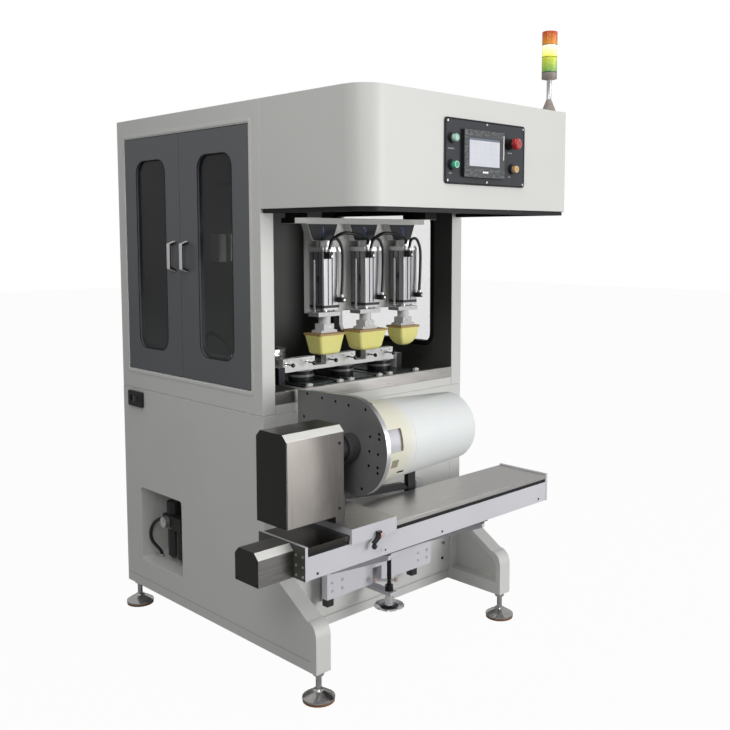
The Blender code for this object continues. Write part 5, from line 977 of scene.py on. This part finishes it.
for name, spans, corner in (
        ("bezel_bar", (0.087, 0.113, 1.574, 1.5785), 0.001),
        ("bezel_trim", (0.185, 0.188, 1.616, 1.69), 0.0012)):
    inlay = plate("Y", BEZEL_FACE, spans, 0.0005, corner)
    settle(inlay, name, milled, "touch_screen")

# Push buttons: polycarbonate lenses in a paler bezel ring, and a red mushroom head. They
# are pressed home into the collars of the panel.
def lens(name, deep, pale):
    """A moulded lens: a colour mottled between a deep and a paler tone, with a soft gloss."""
    return grained(name, 70, deep, pale, 0.1, 0.16, Coat_Weight=0.4)


BUTTONS = (
    ("start_button", "pale_green", (0.42, 0.72, 0.6), (0.6, 0.84, 0.74), (0.3, 0.55, 0.45),
    (-0.03985, 1.67)), ("run_button", "green", (0.05, 0.4, 0.24), (0.08, 0.5, 0.31),
    (0.42, 0.78, 0.62), (-0.03985, 1.593)), ("reset_button", "amber", (0.7, 0.4, 0.15),
    (0.8, 0.5, 0.22), (0.82, 0.62, 0.4), (0.24215, 1.593)))
for node, slot_name, deep, pale, rim_tone, (x, z) in BUTTONS:
    colour = lens(node + "_lens", deep, pale)
    pale_ring = lens(node + "_rim", rim_tone, tuple(min(1, c * 1.1) for c in rim_tone))
    skin(node, colour, 0.0008)
    low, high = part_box(node)
    rim_ring = plate("Y", low[1], about(x, z, 0.01), 0.0008, 0.00999, 0.0026, 8)
    settle(rim_ring, node + "_ring", pale_ring, node, 0.0003)
STOP_MIDDLE, STOP_FACE, STOP_COLLAR = (0.22515, 1.668), -0.68465, -0.6655
STOP_RINGS = ((0.012, 0.0028), (0.0055, 0.002))
stop_red = lens("stop_red", (0.42, 0.018, 0.016), (0.52, 0.03, 0.026))
stop_pale = lens("stop_face", (0.62, 0.16, 0.16), (0.7, 0.24, 0.23))
stop = skin("emergency_stop", stop_red, 0.0012)
second_coat(stop, matt_nylon, lambda at, out: at.y > STOP_COLLAR)
for k, (outer, wide) in enumerate(STOP_RINGS, 1):
    stop_ring = plate("Y", STOP_FACE, about(*STOP_MIDDLE, outer), 0.0006, outer * 0.999, wide, 8)
    settle(stop_ring, f"stop_face_ring_{k}", stop_pale, "emergency_stop", 0.0002)

# Signal tower: a steel pole on a cast foot, a moulded base and three ribbed lenses that
# twist together. Thin black seals part the lenses.
TOWER = (0.49815, -0.59635)
LENS_LEVELS = (1.925, 1.974, 2.013)
taupe = grained("taupe_plastic", 300, (0.3, 0.26, 0.23), (0.38, 0.335, 0.3), 0.15, 0.38)


def ribbed(name, low_tone, high_tone, lit, level, top):
    """A lit tower lens: fine upright ribs all round, its colour fading as it rises."""
    made = Finish(name, Coat_Weight=0.2, Emission_Strength=lit)
    here = made.place(shift=(-TOWER[0], -TOWER[1], 0))
    sides = [made.node("SeparateXYZ", sockets={0: here}, out=k) for k in (0, 1)]
    rib = (made.turn(*sides) * 40).wave()
    climb = made.ramp(made.along("Z"), level, top)
    tone = made.mix(climb, low_tone, high_tone)
    tone = made.mix(rib * 0.05 + 0.05, tone, (0.1, 0.06, 0.01))
    return made.feed(
        Base_Color=tone, Emission_Color=tone, Roughness=rib * 0.04 + 0.18,
        Normal=made.bump(rib, 0.35, 0.0005))


tower = skin("signal_tower", taupe, 0.0)
# The yellow lens glows as the lit lamp. The green lens turns yellow at its top and the red lens
# orange at its foot, next to the yellow one, and both glow faintly: painted light from the yellow
# lamp.
LAMP_TONES = (
    ("green_lens", (0.16, 0.44, 0.08), (0.78, 0.84, 0.06), 0.2), ("yellow_lens", (0.98, 0.9, 0.1),
    (1.0, 1.0, 0.8), 0.55), ("red_lens", (0.95, 0.36, 0.02), (0.62, 0.05, 0.001), 0.14))
POLE_LOW, POLE_TOP = 1.834, 1.9005
SEAL_RADIUS, SEAL_HEIGHT = 0.025, 0.0018
lens_ends = (*LENS_LEVELS[1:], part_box("signal_tower")[1][2])
for (name, low_tone, high_tone, lit), level, top in zip(LAMP_TONES, LENS_LEVELS, lens_ends):
    second_coat(
        tower, ribbed(name, low_tone, high_tone, lit, level, top),
        lambda at, out: at.z > level + 0.001)
second_coat(tower, milled, lambda at, out: POLE_LOW < at.z < POLE_TOP)
for k, level in enumerate(LENS_LEVELS, 1):
    seal = plate(
        "Z", level - SEAL_HEIGHT / 2, about(*TOWER, SEAL_RADIUS), SEAL_HEIGHT, 0.02497, 0.002, 12)
    settle(seal, f"lens_seal_{k}", gasket_rubber, "signal_tower")

# Knee: a folded bracket that carries the slide and rides on two guides bolted to the
# base front. It is coated cool white, and rubber blocks under it meet the guides' ends.
cool_white = coat("cool_white_coat", (0.72, 0.72, 0.765), (0.64, 0.64, 0.68), 0.4, 0.1)
GUIDE_PLATE_BACK, GUIDE_RAIL_LOW = -0.218, 0.2
KNEE_FACE, KNEE_SHELF, BLOCK_TOP = -0.24435, 0.42, 0.2098
KNEE_SCREW_XS, KNEE_SCREW_ZS = (-0.15985, -0.11585, 0.24715, 0.29115), (0.236, 0.264)
HOLE_SHADE_PLACES = ((0.4499, -0.18435, 0.2365), (0.443, -0.18435, 0.1797))
guides = skin("knee_guides", cool_white, 0.0003)
second_coat(
    guides, rail_steel, lambda at, out: at.y > GUIDE_PLATE_BACK and abs(out.y) < 0.5 and at.z >
    GUIDE_RAIL_LOW)
knee_coat = coat("knee_coat", (0.82, 0.82, 0.87), (0.74, 0.74, 0.79), 0.4, 0.1)
# Above the shelf level the coat is dark brown-grey: painted shade under the slide.
over(knee_coat, knee_coat.along("Z") > KNEE_SHELF, (0.12, 0.112, 0.1))
over(knee_coat, knee_coat.along("Z") < BLOCK_TOP, (0.015, 0.015, 0.016))
skin("knee", knee_coat, 0.001)
knee_screws = [(x, KNEE_FACE + 0.0002, z) for x in KNEE_SCREW_XS for z in KNEE_SCREW_ZS]
screws("knee_screw", "knee", knee_screws, FRONT, 0.0048, 0.0022, depth_share=0.7)
# Two dark discs on the base front stand for its two open holes: painted shade in the holes. A
# screw sits on the upper one.
copies(
    button_top(0.006, 0.0012), "base_front_hole_shade", HOLE_SHADE_PLACES, FRONT, gasket_rubber, "base_front")
hole_x, hole_face, hole_z = HOLE_SHADE_PLACES[0]
screws(
    "base_front_screw", "base_front", [(hole_x, hole_face - 0.0011, hole_z)], FRONT, 0.0032,
    0.0014, depth_share=0.7)

# Jack: a black oxided screw through a nut under the knee, turned by a dished hand wheel
# of polished, plated cast iron. A slim key is pinned to its hub.
JACK = Vector((0.04315, -0.30235))
KEY_SPAN_Z, KEY_KNOB_RADIUS = (0.215, 0.245), 0.0072
WHEEL_TOP, HUB_RISE, SCREW_RADIUS, DISH_RADII = 0.1505, 0.0365, 0.011, (0.016, 0.04)
brass = grained("pale_brass", 200, (0.6, 0.38, 0.33), (0.82, 0.66, 0.62), 0.2, 0.3, Metallic=0.8)
KEY_KNOBS = ((0.00915, -0.26835), (0.05915, -0.31835))
jack = skin("jack_screw", polished, 0.0005)
second_coat(jack, black_oxide, lambda at, out: at.z > WHEEL_TOP + HUB_RISE)
second_coat(
    jack, milled, lambda at, out: KEY_SPAN_Z[0] < at.z < KEY_SPAN_Z[1] and
    (Vector((at.x, at.y)) - JACK).length > SCREW_RADIUS)
second_coat(
    jack, brass, lambda at, out: KEY_SPAN_Z[0] < at.z < KEY_SPAN_Z[1] and
    min(math.hypot(at.x - x, at.y - y) for x, y in KEY_KNOBS) < KEY_KNOB_RADIUS)
# The dish of the wheel is dark: painted reflection of dark surroundings in the plated metal.
dished = grained("dish_painted_reflection", 50, (0.03, 0.03, 0.035), (0.1, 0.1, 0.11), 0.1, 0.14, Metallic=0.9)
second_coat(
    jack, dished, lambda at, out: at.z < WHEEL_TOP + 0.001 and abs(out.z) > 0.3 and DISH_RADII[0] <
    (Vector((at.x, at.y)) - JACK).length < DISH_RADII[1])

# Slide: an extruded aluminium channel with a stainless cover over its screw. The cover
# hangs over two dark slots, and a black cable strip runs behind on a post.
SLIDE_FACE, SLIDE_BACK, SLOT_LEVEL, SLOT_ENDS = -0.52435, -0.3025, 0.505, (-0.49, 0.612)
END_LEFT, END_FACE = -0.5025, -0.50485
SHADOW_FROM, SHADOW_TO = -0.26, -0.36
channel = skin("slide_channel", cool_white, 0.0008)
# Faces behind the back line are black, and the faces in the slots under the cover are black as
# painted shade under the cover.
second_coat(
    channel, black_oxide, lambda at, out: at.y > SLIDE_BACK or (at.z > SLOT_LEVEL and SLOT_ENDS[0]
    < at.x < SLOT_ENDS[1]))
# The slide's left end plate is near black: painted shade on its left end.
end_plate_shade = grained(
    "painted_shade_end_plate", 35, (0.075, 0.08, 0.065), (0.115, 0.12, 0.1), 0.2, 0.34, Metallic=0.2)
second_coat(channel, end_plate_shade, lambda at, out: at.x < END_LEFT and out.x < -0.5)
end_screws = [(END_FACE, y, z) for y in (-0.5155, -0.4855) for z in (0.448, 0.476, 0.505)]
screws("end_plate_screw", "slide_channel", end_screws, LEFT, 0.0042, 0.002, depth_share=0.7)
face_screws = [(x, SLIDE_FACE, 0.45) for x in (-0.46, 0.06, 0.575)]
screws(
    "slide_face_screw", "slide_channel", face_screws, FRONT, 0.0036, 0.0014, matt_nylon,
    0.7)
# A thin dark strip along the slot: painted shade under the cover's edge.
shade_strip = plate("Y", -0.5228, (-0.489, 0.611, 0.504, 0.5146), 0.0006)
settle(shade_strip, "slot_shade", gasket_rubber, "slide_channel")
cover_steel = brushed("brushed_cover", "X", 0.52, 0.74, 0.03)
# Under the saddle the cover turns near black: painted shadow of the saddle.
saddle_shadow_share = cover_steel.ramp(cover_steel.along("X"), SHADOW_FROM, SHADOW_TO)
over(cover_steel, saddle_shadow_share, (0.06, 0.055, 0.048))
skin("slide_cover", cover_steel, 0.0008)
screw_steel = Finish("rolled_screw_steel", Metallic=1.0)
thread = (screw_steel.along("X") * 1600).wave()
screw_steel.feed(
    Base_Color=screw_steel.mix(thread * 0.5 + 0.5, (0.3, 0.3, 0.31), (0.62, 0.62, 0.63)),
    Roughness=thread * 0.05 + 0.22, Normal=screw_steel.bump(thread, 0.5, 0.0008))
skin("slide_screw", screw_steel, 0.0)

# Motor cover on the slide's left end: folded brushed stainless, with an end cheek and a
# chamfer along its top. The cheek is painted near black as shade, the top is painted dark as
# a reflection, and the chamfer is painted bright as a highlight. Four small screws hold the cheek.
motor_front = brushed("brushed_motor_front", "X", 0.18, 0.28, 0.02)
top_dark_reflection = brushed("painted_reflection_top", "X", 0.05, 0.09, 0.01)
cheek_shade = coat("painted_shade_cheek", (0.014, 0.014, 0.012), (0.01, 0.01, 0.009), 0.44, 0.1)
chamfer_highlight = coat("painted_highlight_chamfer", (0.86, 0.86, 0.83), (0.78, 0.78, 0.75), 0.36, 0.05)
motor = skin("motor_cover", motor_front, 0.0006)
second_coat(motor, top_dark_reflection, lambda at, out: out.z > 0.9)
second_coat(motor, chamfer_highlight, lambda at, out: 0.3 < out.z < 0.9 and out.y < -0.3)
second_coat(motor, cheek_shade, lambda at, out: out.x < -0.6)
motor_low, motor_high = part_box("motor_cover")
cheek_screws = [
    (motor_low[0], y, z) for y in (motor_low[1] + 0.008, motor_high[1] - 0.008)
    for z in (motor_low[2] + 0.007, motor_high[2] - 0.026)]
screws(
    "motor_cheek_screw", "motor_cover", cheek_screws, LEFT, 0.0024, 0.001, black_oxide,
    0.7)

# Saddle on the slide: a milled bracket that wraps over its front. A clamping lever with
# a black knob locks it, and the saddle's front edge is bright where it was cut.
SADDLE_FACE = -0.5354
saddle = skin("saddle", cool_white, 0.0003)
saddle_top = brushed("ground_saddle_top", "X", 0.46, 0.6, 0.05)
second_coat(saddle, saddle_top, lambda at, out: out.z > 0.9)
skin("clamp_lever", ball_black, 0.0008)
PIVOT_Z = 0.516
lever_block = plate(
    "Y", -0.5556, (-0.2438, -0.2299, PIVOT_Z - 0.007, PIVOT_Z + 0.007), 0.003, 0.0012)
screws(
    "saddle_screw", "saddle", [(-0.2048, SADDLE_FACE, 0.458)], FRONT, 0.003, 0.0012, black_oxide,
    0.7)
settle(lever_block, "lever_hub_cap", brass, "clamp_lever", 0.0006)

# Headstock and drive: a cast column with a bearing eye holds the spindle. A folded
# stainless box covers the belt drive, its face hung on two screws. Its cheek is painted
# near black as shade, its top dark and its face darker to the right as painted reflection,
# and its chamfer bright as a painted highlight.
COVER_LEFT, COVER_RIGHT, COVER_FACE = -0.55485, -0.34585, -0.50935
COVER_SCREW_X, COVER_SCREW_ZS = -0.3625, (0.8019, 0.6124)
casting = grained(
    "painted_casting", 220, (0.045, 0.046, 0.05), (0.075, 0.076, 0.082), 0.15, 0.42, bump=0.2)
skin("headstock", casting, 0.0012)
drive_face = Finish("brushed_drive_face", Metallic=1.0)
drive_brush = drive_face.grain(520, (1, 1, 0.02), 4.0)
fade_wobble = drive_face.grain(9, (1, 1, 0.5))
# The face fades from a pale tone at its left to a dark one at its right: painted reflection.
reflection_fade = drive_face.ramp(
    drive_face.along("X") + drive_face.along("Z") * 0.12 + fade_wobble * 0.1, COVER_LEFT + 0.17,
    COVER_RIGHT + 0.11, "SMOOTHSTEP")
drive_tone = drive_face.mix(reflection_fade, (0.36, 0.335, 0.31), (0.07, 0.066, 0.062))
drive_face.feed(
    Base_Color=drive_face.mix(drive_brush * 0.15, drive_tone, (0.62, 0.59, 0.56)),
    Roughness=drive_brush * 0.2 + 0.24, Normal=drive_face.bump(drive_brush, 0.06, 0.0002))
cover = skin("drive_cover", drive_face, 0.0008)
second_coat(cover, top_dark_reflection, lambda at, out: out.z > 0.9)
second_coat(
    cover, chamfer_highlight, lambda at, out: 0.3 < out.z < 0.9 and out.y < -0.3 and at.x <
    COVER_RIGHT)
second_coat(cover, cheek_shade, lambda at, out: out.x < -0.6)
second_coat(cover, casting, lambda at, out: at.x > COVER_RIGHT + 0.001)
screws(
    "drive_cover_screw", "drive_cover", [(COVER_SCREW_X, COVER_FACE, z) for z in COVER_SCREW_ZS],
    FRONT, 0.0044, 0.0018, black_oxide, 0.7)
# A bright strip down the cover's left front fold: painted highlight.
fold_highlight = plate(
    "Y", COVER_FACE + 0.0004, (COVER_LEFT + 0.0004, COVER_LEFT + 0.003, 0.5906, 0.83), 0.0004)
settle(fold_highlight, "cover_fold_highlight", chamfer_highlight, "drive_cover")

# Faceplate: a slate grey anodised disc with a flat top, drilled all over with countersunk
# holes whose walls are painted dark as shade. Its turned rim was left bright.
AXIS_Y, AXIS_Z = -0.45135, 0.768
RIM_INNER, RIM_OUTER = 0.147, 0.15
slate = grained(
    "slate_anodised", 7, (0.165, 0.167, 0.17), (0.29, 0.285, 0.28), 0.2, 0.28, Metallic=0.15)
face_disc = skin("jig_faceplate", slate, 0.0006)


def off_axis(at):
    """How far a point stands from the turning axis of the jig."""
    return math.hypot(at.y - AXIS_Y, at.z - AXIS_Z)


# The walls of the holes are black: painted shade in the holes.
second_coat(face_disc, gasket_rubber, lambda at, out: abs(out.x) < 0.95)
second_coat(
    face_disc, milled, lambda at, out: abs(out.x) < 0.8 and (RIM_INNER < off_axis(at) < RIM_OUTER
    or (out.z > 0.9 and at.z > 0.905)))

# Jig drum: a turned nylon drum, cream with age, bolted to the faceplate. A clear white
# sleeve carries on from it. A pocket, an olive inlay and two slots are in its skin.
POCKET_RADII, POCKET_EDGE_RADIUS, POCKET_EDGE_XS = (0.1, 0.1186), 0.13, (-0.175, -0.165)
aged_nylon = Finish(
    "aged_cream_nylon", Coat_Weight=0.15, Subsurface_Weight=0.08, Subsurface_Scale=0.01)
age = aged_nylon.grain(9)
to_white = aged_nylon.ramp(aged_nylon.along("X") + age * 0.07, -0.155, -0.05, "SMOOTHSTEP")
cream = aged_nylon.mix(age, (0.87, 0.845, 0.66), (0.92, 0.905, 0.8))
aged_nylon.feed(
    Base_Color=aged_nylon.mix(to_white, cream, (0.95, 0.95, 0.92)), Roughness=age * 0.15 + 0.34)
drum = skin("jig_drum", aged_nylon, 0.0006)
pocket_grey = grained(
    "pocket_grey", 40, (0.42, 0.42, 0.46), (0.54, 0.54, 0.58), 0.15, 0.35, Metallic=0.3)
# The pocket's right wall is brown: painted shadow in the pocket.
pocket_wall_shadow = Finish("pocket_wall_shadow")
pocket_wall_shadow.feed(
    Base_Color=pocket_wall_shadow.mix(pocket_wall_shadow.grain(60), (0.3, 0.24, 0.16), (0.42, 0.35, 0.26)),
    Roughness=pocket_wall_shadow.grain(60) * 0.2 + 0.4)
second_coat(
    drum, pocket_grey, lambda at, out: POCKET_RADII[0] < off_axis(at) < POCKET_RADII[1] and
    abs(out.x) < 0.5)
second_coat(
    drum, pocket_wall_shadow, lambda at, out: POCKET_EDGE_XS[0] < at.x < POCKET_EDGE_XS[1] and out.x <
    -0.9 and POCKET_RADII[0] < off_axis(at) < POCKET_EDGE_RADIUS)
sleeve_white = grained(
    "translucent_sleeve", 5, (0.93, 0.93, 0.92), (0.98, 0.98, 0.975), 0.1, 0.24, (1, 0.5, 0.5),
    Coat_Weight=0.3, Subsurface_Weight=0.15, Subsurface_Scale=0.02)
skin("drum_sleeve", sleeve_white, 0.0008)
olive = grained("olive_inlay", 90, (0.3, 0.29, 0.18), (0.42, 0.41, 0.28), 0.2, 0.4)
# The two slots are thin black strips laid on the skin: painted shade in the slots.
INLAYS = (
    ("drum_inlay", 201.0, (-0.212, -0.187), 0.0125, 0.1262, olive),
    ("drum_slot_low", 220.0, (-0.168, -0.142), 0.003, 0.124, gasket_rubber),
    ("drum_slot_top", 104.0, (-0.23, -0.21), 0.004, 0.1276, gasket_rubber))
for name, angle, (left, right), half, radius, finish in INLAYS:
    inlay = plate("Z", 0, (left, right, -half, half), 0.0012, 0.0008)
    inlay.data.transform(
        Matrix.Translation((0, AXIS_Y, AXIS_Z)) @ Matrix.Rotation(math.radians(angle - 90), 4,
        "X") @ Matrix.Translation((0, 0, radius)))
    settle(inlay, name, finish, "jig_drum")

# Stage: a pale studio floor that runs out of view, one large soft lamp at the front
# right, weaker ones at the left and above, and the camera where the photographer stood.
FLOOR_SIZE, FLOOR_GLOW = 40, 0.97
FLOOR_TONE = (0.55, 0.55, 0.55, 1)
CAMERA_PLACE = (-2.0774, -2.4291, 1.3904)
CAMERA_TILT, CAMERA_TURN = math.radians(84.561), math.radians(-44.713)
CAMERA_LENS, CAMERA_SHIFT = 45.42, (-0.0287, -0.0582)
SKY_LIGHT, SKY_IN_MIRRORS = 0.23, 0.35
bare()
bpy.ops.mesh.primitive_plane_add(size=FLOOR_SIZE)
floor = bpy.context.object
floor.name = "studio_floor"
floor_finish = Finish("studio_floor")
floor_finish.feed(Base_Color=FLOOR_TONE, Roughness=0.9)
glow = floor_finish.node("Emission", sockets={"Color": (1, 1, 1, 1), "Strength": 1.0})
seen = floor_finish.node("LightPath", out=0)
shown = floor_finish.node(
    "MixShader",
    sockets={0: seen * FLOOR_GLOW, 1: Wire(floor_finish, floor_finish.shader.outputs[0]), 2: glow})
floor_finish.tree.links.new(shown.socket, floor_finish.tree.nodes["Material Output"].inputs[0])
floor.data.materials.append(floor_finish.material)
floor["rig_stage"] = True


def lamp(name, place, aim, size, power, fan=180):
    """A soft square lamp aimed at a point."""
    light = bpy.data.lights.new(name, "AREA")
    light.energy, light.size, light.spread = power, size, math.radians(fan)
    holder = stand(name, light)
    holder.location = place
    holder.rotation_euler = (Vector(aim) - Vector(place)).to_track_quat("-Z", "Y").to_euler()


lamp("key_lamp", (2.6, -5.6, 1.5), (0.0, 0.0, 0.8), 3.2, 186)
lamp("side_lamp", (-2.9, -2.2, 2.9), (-0.39, -0.25, 1.5), 1.0, 4.2, 70)
lamp("top_lamp", (-1.2, -1.5, 4.8), (0.0, -0.2, 1.0), 3.0, 55)

sky = bpy.data.worlds.new("studio")
bpy.context.scene.world = sky
sky.use_nodes = True
sky_light = sky.node_tree.nodes["Background"]
sky_light.inputs["Color"].default_value = (1, 1, 1, 1)
sky_graph = Graph(sky.node_tree)
direct, through, mirrored = (
    sky_graph.node("LightPath", out=ray) for ray in ("Is Camera Ray", "Is Transmission Ray",
    "Is Glossy Ray"))
whiteness = direct.sum(
    "MAXIMUM", direct.sum("MAXIMUM", direct, through), mirrored * SKY_IN_MIRRORS)
strength = sky_graph.node(
    "MapRange", sockets={"Value": whiteness, "To Min": SKY_LIGHT, "To Max": 1.0})
sky.node_tree.links.new(strength.socket, sky_light.inputs["Strength"])

view = bpy.data.cameras.new("camera")
view.lens = CAMERA_LENS
view.shift_x, view.shift_y = CAMERA_SHIFT
camera = stand("camera", view)
camera.location = CAMERA_PLACE
camera.rotation_euler = (CAMERA_TILT, 0, CAMERA_TURN)
bpy.context.scene.camera = camera
bpy.context.scene.view_settings.view_transform = "Standard"

low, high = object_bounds()
